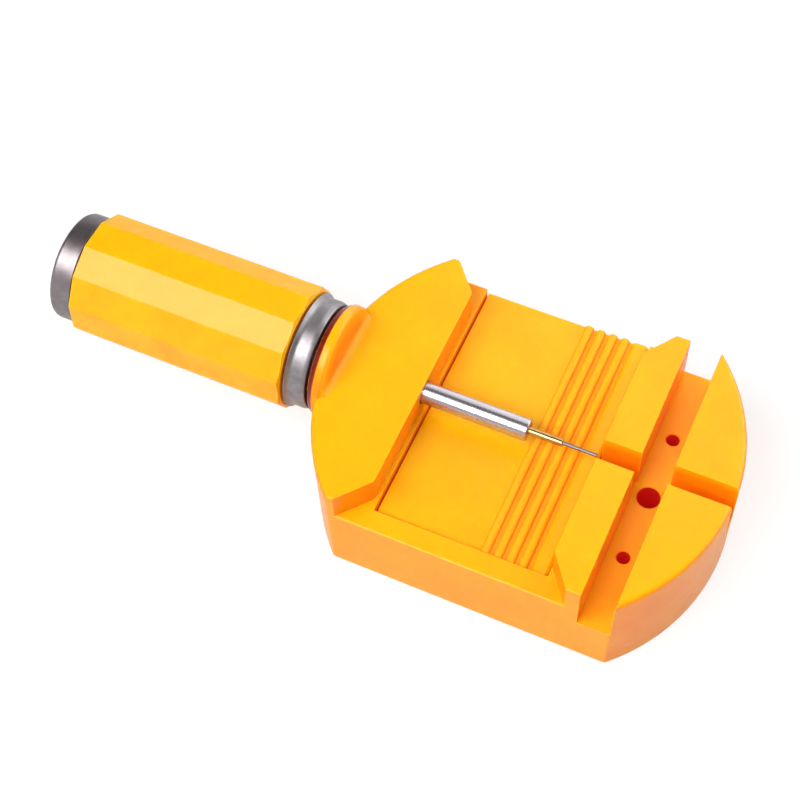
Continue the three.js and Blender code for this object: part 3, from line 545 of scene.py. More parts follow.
class Board:
    """The board that the nodes of a material, or of the world, stand on."""

    def __init__(self, owner: bpy.types.Material | bpy.types.World) -> None:
        """Lays the owner's nodes out.

        Args:
            owner: The material or the world.
        """
        owner.use_nodes = True
        self.owner = owner
        self.tree = owner.node_tree
        self.shader = self.found("BSDF_PRINCIPLED", "BACKGROUND")

    def found(self, *kinds: str) -> bpy.types.Node:
        """The first node of some kinds."""
        return next(node for node in self.tree.nodes if node.type in kinds)

    def node(self, kind: str, settings: dict | None = None, inputs: dict | None = None) -> dict[str, Wire]:
        """Adds a node.

        Args:
            kind: The node's type.
            settings: Its own properties, such as an operation. They are set first.
            inputs: Values or wires for its sockets, by name or number.

        Returns:
            Its outputs by name.
        """
        node = self.tree.nodes.new(kind)
        for key, value in (settings or {}).items():
            if key == "stops":
                self.set_stops(node, value)
            else:
                setattr(node, key, value)
        for key, value in (inputs or {}).items():
            self.feed(node.inputs[key], value)
        return {socket.name: Wire(self, socket) for socket in node.outputs if socket.enabled}

    def set_stops(self, node: bpy.types.Node, stops: list[tuple[float, Colour]]) -> None:
        """Sets the two stops of a colour ramp.

        Args:
            node: The ramp.
            stops: Their places and colours, in rising order.
        """
        for element, (where, colour) in zip(node.color_ramp.elements, stops):
            element.position = where
            element.color = (*colour, 1.0)

    def feed(self, socket: bpy.types.NodeSocket, value: "Wire | float | tuple") -> None:
        """Links a wire to a socket, or sets the socket's own value.

        Args:
            socket: The socket.
            value: What goes into it.
        """
        if isinstance(value, Wire):
            self.tree.links.new(value.socket, socket)
        elif isinstance(value, tuple) and len(value) == 3 and socket.type == "RGBA":
            socket.default_value = (*value, 1.0)
        else:
            socket.default_value = value

    def point(self) -> Wire:
        """The point on the piece, in metres."""
        return self.node("ShaderNodeTexCoord")["Object"]

    def parts(self, vector: Wire) -> tuple[Wire, Wire, Wire]:
        """The X, Y and Z of a vector."""
        split = self.node("ShaderNodeSeparateXYZ", None, {0: vector})
        return split["X"], split["Y"], split["Z"]

    def millimetres(self) -> tuple[Wire, Wire, Wire]:
        """The X, Y and Z of the point on the piece, in millimetres from the block's centre."""
        x, y, z = self.parts(self.point())
        return x / MM - BLOCK_CENTRE, y / MM, z / MM

    def noise(self, where: Wire, scale: float, detail: float = 2.0, rough: float = 0.5) -> Wire:
        """Soft noise from 0 to 1.

        Args:
            where: The point that it is read at.
            scale: Its scale, per metre.
            detail: How many finer layers it has.
            rough: How strong the finer layers are.

        Returns:
            The noise.
        """
        inputs = {"Vector": where, "Scale": scale, "Detail": detail, "Roughness": rough}
        return self.node("ShaderNodeTexNoise", None, inputs)["Fac"]

    def mix(self, share: "Wire | float", first: "Wire | Colour", second: "Wire | Colour") -> Wire:
        """A colour between two colours, with a share of the second."""
        return self.node("ShaderNodeMix", {"data_type": "RGBA"}, {0: share, 6: first, 7: second})["Result"]

    def edge_wear(self, reach: float) -> Wire:
        """How near a point is to a sharp edge, from 0 to 1.

        Args:
            reach: How far from the edge it starts, in metres.

        Returns:
            The nearness.
        """
        soft = self.node("ShaderNodeBevel", {"samples": 4}, {"Radius": reach})["Normal"]
        plain = self.node("ShaderNodeNewGeometry")["Normal"]
        agree = self.node("ShaderNodeVectorMath", {"operation": "DOT_PRODUCT"}, {0: soft, 1: plain})["Value"]
        return agree.fall(0.8, 0.98)

    def bump(self, height: Wire, depth: float) -> Wire:
        """The normal turned by a height from 0 to 1, where 1 stands for a depth in metres."""
        return self.node("ShaderNodeBump", None, {"Height": height, "Distance": depth})["Normal"]

    def shine(self, **values: "Wire | float | tuple") -> bpy.types.Material | bpy.types.World:
        """Sets the shader's sockets, whose spaces are written as underscores.

        Args:
            values: Values or wires for the sockets.

        Returns:
            The finished material or world.
        """
        for key, value in values.items():
            self.feed(self.shader.inputs[key.replace("_", " ")], value)
        return self.owner


@dataclass(frozen=True)
class MouldedPlastic:
    """Satin plastic that light seeps into: clouded, finely grained, with painted shade on its upright faces,
    worn at edges.
    """

    name: str
    colour: Colour = (1.0, 0.46, 0.003)
    deep: Colour = (1.0, 0.43, 0.003)
    # painted shade: the deeper orange that upright faces take
    wall: Colour = (1.0, 0.29, 0.002)
    wall_spread: Span = (1.07, 0.9)  # what the clouds make of the wall's green
    level: Span = (0.25, 0.8)  # the normal's Z where the painted wall shade ends and where tops start
    worn: Colour = (1.0, 0.55, 0.03)
    wear: float = 0.7  # the share of the worn colour at a bare edge
    edge: float = 0.0005  # how far wear reaches from an edge, in metres
    roughness: float = 0.26
    matt: float = 0.3  # how much rougher a sheltered place is
    grain: float = 0.000004
    fine_scale: float = 5200.0  # of the grain's noise, per metre
    broad_scale: float = 260.0
    cloud_scale: float = 95.0
    wear_scale: float = 700.0
    seep: float = 0.6  # the share of the light that goes into the plastic
    reach: float = 0.0035  # how far its red goes, in metres
    # painted shade: the deep red put in holes and gaps
    glow: Colour = (0.3, 0.005, 0.002)
    painted_glow: Colour = (0.26, 0.001, 0.0005)  # the painted glow that the painted red holes and gaps send out

    def painted_recess_share(self, board: Board) -> "Wire | float":
        """How much painted red shade and painted glow a point gets, which is none on a plain piece."""
        return 0.0

    def open_share(self, board: Board) -> "Wire | float":
        """How open a point lies: sheltered places don't wear and stay matt. A plain piece has none."""
        return 1.0

    def tone(self, board: Board) -> Wire:
        """The colour of the sound plastic with its painted wall shade, without wear or the painted red of
        holes and gaps.

        Args:
            board: The material's board.

        Returns:
            The colour.
        """
        clouds = board.noise(board.point(), self.cloud_scale, 3.0, 0.55).ramp(0.3, 0.7)
        facing = board.parts(board.node("ShaderNodeTexCoord")["Normal"])[2]
        red, green, blue = self.wall
        # painted shade: faces that stand upright take the wall colour
        painted_wall_shade = board.mix(clouds, *((red, green * spread, blue) for spread in self.wall_spread))
        return board.mix(abs(facing).fall(*self.level), board.mix(clouds, self.colour, self.deep), painted_wall_shade)

    def material(self) -> bpy.types.Material:
        """The finish as a material.

        Returns:
            The material.
        """
        board = Board(bpy.data.materials.new(self.name))
        where = board.point()
        fine = board.noise(where, self.fine_scale)
        broad = board.noise(where, self.broad_scale)
        glow = self.painted_recess_share(board)
        bare = self.open_share(board)
        patches = board.noise(where, self.wear_scale, 3.0).ramp(0.25, 0.6)
        wear = board.edge_wear(self.edge) * patches * bare
        # painted shade: holes and gaps take the deep red
        sound = board.mix(glow, self.tone(board), self.glow)
        spread = 0.05 * (broad - 0.5) + 0.04 * (fine - 0.5) + 0.08 * wear
        return board.shine(
            Base_Color=board.mix(wear * (self.wear * (1 - glow)), sound, self.worn),
            Roughness=self.roughness + spread + 0.6 * glow + self.matt * (1 - bare),
            Specular_IOR_Level=0.28,
            # painted glow: holes and gaps send out a red light
            Emission_Color=board.mix(glow, (0.0, 0.0, 0.0), self.painted_glow),
            Emission_Strength=1.0,
            Subsurface_Weight=self.seep,
            Subsurface_Radius=(1.0, 0.2, 0.02),
            Subsurface_Scale=self.reach,
            Normal=board.bump(fine, self.grain),
        )


@dataclass(frozen=True)
class HousingPlastic(MouldedPlastic):
    """The block's plastic.

    Its holes and the gap round the tray are painted deep red as shade, with a painted glow, and a painted
    dark red shade lies behind the neck's lip. Painted light makes it lighter on that lip and before it, at
    the slot's upper edges and along the flats.
    """

    # where the painted red shade and glow lie: the holes and the gaps round the tray
    hole_top: Span = (14.0, 14.3)
    rear_gap: tuple[float, Span] = (-23.2, (0.35, 0.45))  # its middle and its half width
    front_gap: tuple[float, Span] = (16.05, (0.25, 0.35))
    gap_floor: Span = (13.5, 14.5)
    gap_top: Span = (18.1, 18.4)
    gap_shade_share: float = 0.6
    # where the painted dark red shade behind the neck's lip lies, and its colour
    behind_lip: Span = (-46.1, -45.8)
    neck_edge: Span = (13.4, 13.5)
    shade: Colour = (0.19, 0.004, 0.001)
    # where painted light makes it lighter: the lip's crest, the valley before it, the slot's upper lip and
    # the flats
    crest: tuple[Span, Span] = ((-44.2, -43.9), (-43.5, -43.2))  # where the painted light on the lip's crest rises and falls along X
    crest_radius: Span = (8.5, 13.0)
    valley: tuple[Span, Span] = ((-43.6, -43.2), (-40.5, -39.0))
    shelter: tuple[Span, Span] = ((-44.2, -43.6), (-40.5, -39.0))
    slot_edge: Span = (2.5, 2.6)
    slot_start: Span = (16.0, 16.2)
    slot_lip: Span = (BLOCK_HEIGHT - 3.2, BLOCK_HEIGHT - 0.3)
    flats: Span = (FLAT_Y - 0.2, FLAT_Y - 0.05)
    parting: float = 14.2
    parting_edge: Span = (0.05, 0.22)
    parting_start: Span = (32.6, 33.6)
    seam: Colour = (1.0, 0.42, 0.05)

    def painted_recess_share(self, board: Board) -> Wire:
        """How much painted red shade and painted glow a point gets.

        Args:
            board: The material's board.

        Returns:
            The share, from 0 to 1.
        """
        x, y, z = board.millimetres()
        off = x - CHANNEL_MIDDLE
        red = 0.0
        for middle, radius in HOLES:
            along = y - middle
            away = (off * off + along * along) ** 0.5
            red = away.fall(radius + 0.1, radius + 0.25) * z.fall(*self.hole_top) + red
        rear, front = (abs(x - middle).fall(*half) for middle, half in (self.rear_gap, self.front_gap))
        inside = abs(y).fall(FLAT_Y - 0.5, FLAT_Y)
        gap = (rear + front) * inside * z.within(self.gap_floor, self.gap_top)
        return (red + self.gap_shade_share * gap).held()

    def open_share(self, board: Board) -> Wire:
        """How open a point lies: the valley before the lip is sheltered."""
        x, _, z = board.millimetres()
        return 1 - x.within(*self.shelter) * z.ramp(BLOCK_HEIGHT + 0.05, BLOCK_HEIGHT + 1)

    def tone(self, board: Board) -> Wire:
        """The plain colour, lightened by painted light in places, with the parting line in front and painted
        shade behind the lip.

        Args:
            board: The material's board.

        Returns:
            The colour.
        """
        x, y, z = board.millimetres()
        above = z - NECK_LINE[2]
        radius = (y * y + above * above) ** 0.5
        # painted light: lighter at the slot's upper lip, on the lip's crest, in the valley before it and
        # along the flats
        lip = abs(y).fall(*self.slot_edge) * x.ramp(*self.slot_start) * z.ramp(*self.slot_lip)
        crest = x.within(*self.crest) * radius.ramp(*self.crest_radius)
        valley = x.within(*self.valley) * z.ramp(BLOCK_HEIGHT + 0.05, BLOCK_HEIGHT + 0.5)
        flat = abs(y).ramp(*self.flats)
        painted_light = (0.8 * lip + 0.8 * crest + 0.5 * valley + 0.35 * flat).held()
        plain = board.mix(painted_light, super().tone(board), self.colour)
        line = 0.45 * (abs(z - self.parting).fall(*self.parting_edge) * x.ramp(*self.parting_start))
        # painted shade: dark red behind the neck's lip
        behind = x.fall(*self.behind_lip) * radius.fall(*self.neck_edge)
        return board.mix(behind, board.mix(line, plain, self.seam), self.shade)


@dataclass(frozen=True)
class TrayPlastic(MouldedPlastic):
    """The tray's plastic, with painted shade in the valleys between the ribs."""

    ribs: tuple[Span, Span] = ((0.6, 0.9), (12.1, 12.4))  # where they start and end along X
    rib_side: Span = (18.15, 18.6)
    # share of painted shade in the valleys
    valley_shade_share: float = 0.6

    def open_share(self, board: Board) -> Wire:
        """How open a point lies: the stretch between the ribs is sheltered."""
        return 1 - board.millimetres()[0].within(*self.ribs)

    def tone(self, board: Board) -> Wire:
        """The plain colour with painted shade in the valleys.

        Args:
            board: The material's board.

        Returns:
            The colour.
        """
        x, _, z = board.millimetres()
        # painted shade: the valleys between the ribs take the wall colour
        valley = x.within(*self.ribs) * z.fall(*self.rib_side)
        return board.mix(valley * self.valley_shade_share, super().tone(board), self.wall)


@dataclass(frozen=True)
class TurnedMetal:
    """Metal off the lathe: fine rings about the feed line, with faint stains and brighter edges."""

    name: str
    colour: Colour
    stain: Colour
    roughness: float
    rings: float = 0.0000012
    ring_scale: float = 9000.0
    gleam: float = 1.35  # how much brighter an edge is
    edge: float = 0.0002  # how far that reaches, in metres

    def material(self) -> bpy.types.Material:
        """The finish as a material.

        Returns:
            The material.
        """
        board = Board(bpy.data.materials.new(self.name))
        where = board.point()
        x, y, z = board.parts(where)
        off = z - FEED_HEIGHT * MM
        radius = (y * y + off * off) ** 0.5
        ring = board.node("ShaderNodeCombineXYZ", None, {"X": x, "Y": radius})["Vector"]
        lines = board.noise(ring, self.ring_scale)
        stains = board.noise(where, 420.0, 4.0, 0.6)
        bright = tuple(min(1.0, share * self.gleam) for share in self.colour)
        plain = board.mix(stains.ramp(0.35, 0.75), self.colour, self.stain)
        return board.shine(
            Base_Color=board.mix(board.edge_wear(self.edge), plain, bright),
            Metallic=1.0,
            Roughness=self.roughness + 0.06 * (stains - 0.5) + 0.05 * (lines - 0.5),
            Normal=board.bump(lines, self.rings),
        )


@dataclass(frozen=True)
class PlatedSteel:
    """Plated steel hardware: a fine-grained grey with duller patches."""

    name: str
    colour: Colour = (0.36, 0.36, 0.37)
    dull: Colour = (0.26, 0.26, 0.27)
    roughness: float = 0.34
    grain: float = 0.000002

    def material(self) -> bpy.types.Material:
        """The finish as a material.

        Returns:
            The material.
        """
        board = Board(bpy.data.materials.new(self.name))
        where = board.point()
        patches = board.noise(where, 600.0, 4.0, 0.6)
        return board.shine(
            Base_Color=board.mix(patches.ramp(0.4, 0.7), self.colour, self.dull),
            Metallic=1.0,
            Roughness=self.roughness + 0.1 * (patches - 0.5),
            Normal=board.bump(board.noise(where, 9000.0), self.grain),
        )


@dataclass(frozen=True)
class Screw:
    """A countersunk screw with a cross recess, which starts at the face of its head."""

    head: float  # its radius
    shank: float  # its radius
    cone: float  # how long the head's cone is
    length: float
    point: float  # how long its point is
    eases: Span  # the rounding of its head's rim and of its shank's end
    recess: Point  # half its length, half its width and its depth
    sides: int
    seat_play: float = 0.12

    def build(self, name: str, axis: Axis, foot: Point) -> Shape:
        """Turns the screw and cuts its recess.

        Args:
            name: The screw's name.
            axis: The way it points.
            foot: The middle of its head's face.

        Returns:
            The screw.
        """
        rim, end = self.eases
        corners = [
            Corner(0, 0),
            Corner(0, self.head, rim),
            Corner(self.cone, self.shank),
            Corner(self.length - self.point, self.shank, end),
            Corner(self.length, 0),
        ]
        shape = turned(name, corners, self.sides, axis, foot)
        long, wide, depth = self.recess
        for a, b in ((long, wide), (wide, long)):
            half = Vector((a, b, 0)) if axis is Axis.UP else Vector((0, a, b))
            low = Vector(foot) - half - axis.value * PAST
            put_together(shape, block("slot", low, Vector(foot) + half + axis.value * depth))
        return shape

    def seat(self, axis: Axis, foot: Point, depth: float) -> Shape:
        """The countersunk hole for the screw, to cut with.

        Args:
            axis: The way the screw points.
            foot: The middle of its head's face.
            depth: How deep the hole goes.

        Returns:
            The hole's solid.
        """
        head, shank = self.head + GAP, self.shank + GAP
        corners = [
            Corner(-PAST, 0),
            Corner(-PAST, head),
            Corner(self.seat_play, head),
            Corner(self.seat_play + self.cone, shank),
            Corner(depth, shank),
            Corner(depth, 0),
        ]
        return turned("seat", corners, self.sides, axis, foot)


# the head


@dataclass
class Housing:
    """The moulded block with its bay, jaw, cross channel, neck flange and hollow underside."""

    radius: float = 47.0
    front_radius: float = 46.8
    front_draft: float = 0.3
    rear_draft: float = 0.8
    outer_edge: float = 1.3  # the rounding of the top's ends
    low_share: float = 0.5  # of that, at the other level edges
    upright_share: float = 0.35
    inner_edge: float = 0.3
    cell_share: float = 0.6  # of that, in the hollow underside
    deck: float = 19.7
    rear_face: float = 24.4
    rear_corner: float = 30.7
    jaw_face: float = 16.2
    jaw_corner: float = 21.7
    face_end: float = 26.5
    face_ease: float = 0.6
    pocket_rear: float = 23.5
    pocket_near: float = 28.95
    pocket_floor: float = 15.2
    channel: Span = (24.9, 32.15)
    channel_floor: float = 14.4
    hole_lead: float = 0.2
    slot_half: float = 2.4
    neck_radius: float = 13.3
    neck_rear: float = 47.3
    neck_front: float = 43.7
    neck_chamfer: float = 0.9
    neck_slope: float = 1.5
    neck_lip: float = 1.7
    neck_blend: float = 4.4
    guide: float = 2.65
    guide_span: Span = (-49.0, -23.0)
    wheel_room: float = 5.4
    boss_room: float = 16.5
    pilot_depth: float = 9.8
    stem_pilots: Span = (-48.3, -41.1)
    plate_inset: float = 2.6
    plate_room: float = 2.3
    cell_ceiling: float = 12.2
    cell_rib: float = 1.8
    side_cells: Span = (-28.5, 22.5)  # where the rows at the flats start and end along X
    side_cell_depth: Span = (17.2, 30.6)  # how far from the middle they start and end
    side_row: int = 4  # how many cells a row has
    mid_cell_rears: Span = (13.3, -28.0)
    mid_cell_length: float = 9.2
    mid_cell_side: float = 13.0
    # its painted wall shade reaches further onto sloping faces
    finish: MouldedPlastic = HousingPlastic("yellow_moulding", level=(0.45, 0.93))

    def raw_block(self) -> Shape:
        """The disc with two flats and leaning ends.

        Returns:
            The raw block.
        """
        shape = peg("block_moulding", self.radius, Axis.UP, (0, 0, 0), BLOCK_HEIGHT, 192)
        middle = place(0, 0, 0)
        with shaping(shape):
            share = self.front_radius / self.radius
            pick_points(shape, lambda at: at.x > 1)
            stretch((share, share, 1), middle)
            cut_flats(FLAT_Y)
            pick_points(shape, lambda at: at.x > 0 and at.z > BLOCK_HEIGHT / 2)
            stretch((1 - self.front_draft / self.front_radius, 1, 1), middle)
            pick_points(shape, lambda at: at.x < 0 and at.z < BLOCK_HEIGHT / 2)
            stretch((1 - self.rear_draft / self.radius, 1, 1), middle)
            close_up()
        ease_edges(shape, self.outer_edge, self.outer_share, 4)
        return shape

    def outer_share(self, start: Vector, end: Vector) -> float:
        """The share of the outer rounding that an edge of the raw block gets: all of it at the top's ends.

        Args:
            start: One end of the edge.
            end: Its other end.

        Returns:
            The share.
        """
        is_level = abs(start.z - end.z) < CLOSE
        at_flat = abs(start.y - end.y) < CLOSE
        if is_level and start.z > BLOCK_HEIGHT / 2 and not at_flat:
            return 1.0
        return self.low_share if is_level else self.upright_share

    def neck(self) -> Shape:
        """The thick round lip behind the block.

        Returns:
            The lip.
        """
        corners = [
            Corner(-self.neck_rear, 0),
            Corner(-self.neck_rear, self.neck_radius - self.neck_chamfer),
            Corner(-self.neck_rear + self.neck_slope, self.neck_radius, 0.25),
            Corner(-self.neck_front, self.neck_radius, self.neck_lip),
            Corner(-self.neck_front, 0),
        ]
        return turned("neck", corners, 128, foot=NECK_LINE)

    def blend(self) -> Shape:
        """The hollow wedge that runs from the lip's front down into the block's top.

        Returns:
            The wedge.
        """
        rear = -self.neck_front
        reach = self.neck_blend
        corners = [
            Corner(rear - 0.5, BLOCK_HEIGHT - 1),
            Corner(rear - 0.5, BLOCK_HEIGHT + reach),
            Corner(rear, BLOCK_HEIGHT + reach),
            Corner(rear, BLOCK_HEIGHT, reach),
            Corner(rear + reach, BLOCK_HEIGHT),
            Corner(rear + reach, BLOCK_HEIGHT - 1),
        ]
        wedge = prism("blend", corners, Axis.ACROSS, (-self.neck_radius, self.neck_radius), 14)
        taper = [
            Corner(rear - 1, 0),
            Corner(rear - 1, self.neck_radius - 0.4),
            Corner(rear + 0.2, self.neck_radius - 0.6, 2.0),
            Corner(rear + reach + 1, self.neck_radius - 4.5),
            Corner(rear + reach + 1, 0),
        ]
        put_together(wedge, turned("limit", taper, 96, foot=NECK_LINE), Join.KEEP)
        return wedge

    def bay(self) -> Shape:
        """The cut between the rear block and the jaw, flared at both flats.

        Returns:
            The bay's solid.
        """
        out = FLAT_Y + PAST
        far = [
            Corner(self.jaw_face, self.face_end, self.face_ease),
            Corner(self.jaw_corner, FLAT_Y),
            Corner(self.jaw_corner, out),
            Corner(-self.rear_corner, out),
            Corner(-self.rear_corner, FLAT_Y),
            Corner(-self.rear_face, self.face_end, self.face_ease),
        ]
        near = [Corner(corner.a, -corner.b, corner.ease) for corner in reversed(far)]
        return prism("bay", far + near, Axis.UP, (self.deck, BLOCK_HEIGHT + PAST))

    def cells(self) -> list[Shape]:
        """The hollow cells of the underside, to cut with.

        Returns:
            One block for each cell.
        """
        cuts = []
        start, end = self.side_cells
        width = (end - start - (self.side_row - 1) * self.cell_rib) / self.side_row
        for side in (-1, 1):
            low_y, high_y = sorted(side * y for y in self.side_cell_depth)
            for index in range(self.side_row):
                x = start + index * (width + self.cell_rib)
                cuts.append(block("cell", (x, low_y, 0), (x + width, high_y, self.cell_ceiling)))
        depth = self.mid_cell_side - self.cell_rib / 2
        for x in self.mid_cell_rears:
            for y in (-self.mid_cell_side, self.cell_rib / 2):
                high = (x + self.mid_cell_length, y + depth, self.cell_ceiling)
                cuts.append(block("cell", (x, y, 0), high))
        return cuts

    def punch_hole(self, y: float, radius: float) -> Shape:
        """A hole through the channel's floor, with a small lead-in.

        Args:
            y: Its middle.
            radius: Its radius.

        Returns:
            The hole's solid.
        """
        low = self.channel_floor - self.hole_lead
        high = self.channel_floor + self.hole_lead
        corners = [
            Corner(-PAST, 0),
            Corner(-PAST, radius),
            Corner(low, radius),
            Corner(high, radius + 2 * self.hole_lead),
            Corner(high, 0),
        ]
        return turned("hole", corners, 40, Axis.UP, (CHANNEL_MIDDLE, y, 0))

    def cuts(self) -> list[Shape]:
        """Everything that is cut out of the block.

        Returns:
            The solids to cut with.
        """
        out = FLAT_Y + PAST
        top = BLOCK_HEIGHT + PAST
        plate = BasePlate()
        start, end = self.channel
        behind, before = self.guide_span
        pocket = (-self.pocket_rear, -self.pocket_near, self.pocket_floor)
        slot = (self.jaw_face - PAST, -self.slot_half, self.channel_floor)
        cuts = [
            self.bay(),
            block("pocket", pocket, (self.jaw_face, out, self.deck + PAST)),
            block("channel", (start, -out, self.channel_floor), (end, out, top)),
            block("pin_slot", slot, (self.radius + PAST, self.slot_half, top)),
            plate.outline("recess", self.plate_inset, (-PAST, self.plate_room)),
            peg("guide", self.guide, Axis.ALONG, (behind, 0, FEED_HEIGHT), before - behind),
            peg("wheel_room", HeightWheel.flange + GAP, Axis.UP, (LIFT_X, 0, 0), self.wheel_room, 72),
            peg("boss_room", Tray.boss + GAP, Axis.UP, (LIFT_X, 0, 0), self.boss_room),
        ]
        cuts += [self.punch_hole(y, radius) for y, radius in HOLES]
        pilot = plate.screw.shank + GAP
        cuts += [peg("pilot", pilot, Axis.UP, (x, y, 0), self.pilot_depth, 24) for x, y in plate.screw_places]
        low, high = self.stem_pilots
        for y, z in STEM_SCREWS:
            foot = (low, y, FEED_HEIGHT + z)
            cuts.append(peg("stem_pilot", Stem.screw.shank + GAP, Axis.ALONG, foot, high - low, 16))
        return cuts + self.cells()

    def inner_share(self, start: Vector, end: Vector) -> float:
        """The share of the inner rounding that an edge of the cut block gets.

        Args:
            start: One end of the edge.
            end: Its other end.

        Returns:
            The share.
        """
        x, y, z = (start + end) / 2
        at_jaw = abs(x - self.jaw_face) < CLOSE and abs(z - self.deck) < CLOSE
        at_neck = x < -self.neck_front + self.neck_blend + 0.1 and z > BLOCK_HEIGHT - 0.1
        at_hole = any(math.hypot(x - CHANNEL_MIDDLE, y - middle) < radius + 0.5 for middle, radius in HOLES)
        at_tip = x > self.channel[0] and abs(y) > FLAT_Y - 0.8
        at_slot = x > self.front_radius - 1.5 and abs(y) < self.slot_half + 0.1
        if at_jaw or at_neck or at_hole or at_tip or at_slot:
            return 0.0
        return self.cell_share if z < self.cell_ceiling + 0.1 else 1.0

    def build(self) -> list[Piece]:
        """Builds the housing.

        Returns:
            Its one piece.
        """
        shape = self.raw_block()
        put_together(shape, self.neck(), Join.ADD)
        put_together(shape, self.blend(), Join.ADD)
        for cut in self.cuts():
            put_together(shape, cut)
        ease_edges(shape, self.inner_edge, self.inner_share, sharp=40)
        return [finished(shape, self.finish.material(), "head", "yellow_body", "housing")]


@dataclass
class BasePlate:
    """The plate let into the underside, with its four countersunk screws."""

    front: float = 46.8
    rear: float = 46.2
    inset: float = 2.9
    thickness: float = 2.0
    opening: float = 10.9
    edge: float = 0.25
    screw: Screw = Screw(2.5, 1.3, 1.2, 9.2, 1.4, (0.15, 0.3), (1.5, 0.28, 0.6), 36)
    screw_height: float = 0.3
    screw_places: tuple[Span, ...] = ((-36.0, -17.0), (-36.0, 17.0), (36.5, -17.0), (36.5, 17.0))
    finish: MouldedPlastic = MouldedPlastic("yellow_plate", roughness=0.38, grain=0.000008)
    steel: PlatedSteel = PlatedSteel("plated_screw")

    def outline(self, name: str, inset: float, span: Span) -> Shape:
        """The base's outline, drawn in, as a solid.

        Args:
            name: The object's name.
            inset: How far it is drawn in.
            span: The solid's underside and top.

        Returns:
            The solid.
        """
        low, high = span
        radius = self.front - inset
        shape = peg(name, radius, Axis.UP, (0, 0, low), high - low, 144)
        with shaping(shape):
            share = (self.rear - inset) / radius
            pick_points(shape, lambda at: at.x < -1)
            stretch((share, share, 1), place(0, 0, 0))
            cut_flats(FLAT_Y - inset)
            close_up()
        return shape

    def build(self) -> list[Piece]:
        """Builds the plate and its screws.

        Returns:
            The pieces.
        """
        shape = self.outline("bottom_plate", self.inset, (0.0, self.thickness))
        put_together(shape, peg("opening", self.opening, Axis.UP, (LIFT_X, 0, -1), 4, 72))
        feet = [(x, y, self.screw_height) for x, y in self.screw_places]
        for foot in feet:
            put_together(shape, self.screw.seat(Axis.UP, foot, self.thickness + PAST))
        for y, radius in HOLES:
            put_together(shape, peg("hole", radius + GAP, Axis.UP, (CHANNEL_MIDDLE, y, -1), 4, 40))
        ease_edges(shape, self.edge)
        plate = finished(shape, self.finish.material(), "head", "yellow_base", "base_plate")
        screw = self.screw.build("plate_screw_1", Axis.UP, feet[0])
        first = finished(screw, self.steel.material(), "head", "plated_screw", "base_screw_1")
        home = Vector(feet[0])
        others = [
            first.twin(f"plate_screw_{number}", Vector(foot) - home, "head", f"base_screw_{number}")
            for number, foot in enumerate(feet[1:], 2)
        ]
        return [plate, first, *others]


@dataclass
class Tray:
    """The ribbed plate that the bracelet lies on, with the boss under it."""

    rear: float = -23.2
    front: float = 15.9
    near: float = -28.65
    underside: float = 15.5
    top: float = 18.1
    first_rib: float = 1.75
    pitch: float = 2.87
    rib_width: float = 2.0
    rib_height: float = 1.0
    ribs: int = 4
    rib_steps: int = 10
    broad_width: float = 3.8
    broad_height: float = 0.65
    edge: float = 0.38
    boss: float = 5.4
    boss_foot: float = 6.5
    bore: float = 3.3
    finish: MouldedPlastic = TrayPlastic("yellow_tray_moulding")

    def profile(self) -> list[Corner]:
        """The tray's outline, seen along the ribs.

        Returns:
            Its corners, in X and Z.
        """
        corners = [Corner(self.rear, self.underside), Corner(self.rear, self.top, 0.2)]
        for index in range(self.ribs):
            middle = self.first_rib + index * self.pitch
            for step in range(self.rib_steps + 1):
                turn = math.pi * (1 - step / self.rib_steps)
                x = middle + self.rib_width / 2 * math.cos(turn)
                corners.append(Corner(x, self.top + self.rib_height * math.sin(turn)))
        start = self.front - self.broad_width
        high = self.top + self.broad_height
        return corners + [
            Corner(start, self.top),
            Corner(start + self.broad_height, high, 0.25),
            Corner(self.front - self.broad_height, high, 0.25),
            Corner(self.front, self.top, 0.1),
            Corner(self.front, self.underside),
        ]

    def at_end(self, start: Vector, end: Vector) -> bool:
        """Whether an edge runs along the top of the tray's near or far end."""
        level = any(max(abs(start.y - y), abs(end.y - y)) < CLOSE for y in (self.near, FLAT_Y))
        return level and min(start.z, end.z) > self.top - 0.05

    def build(self) -> list[Piece]:
        """Builds the tray.

        Returns:
            Its one piece.
        """
        shape = prism("ribbed_tray", self.profile(), Axis.ACROSS, (self.near, FLAT_Y))
        with shaping(shape, "EDGE"):
            pick_edges(shape, self.at_end)
            bpy.ops.mesh.bevel(offset=self.edge * MM, segments=3, affect="EDGES", clamp_overlap=True)
        put_together(shape, peg("boss", self.boss, Axis.UP, (LIFT_X, 0, self.boss_foot), 10.3), Join.ADD)
        put_together(shape, peg("bore", self.bore, Axis.UP, (LIFT_X, 0, self.boss_foot - PAST), 10.0, 36))
        return [finished(shape, self.finish.material(), "tray", "yellow_tray", "bracelet_tray", 40)]


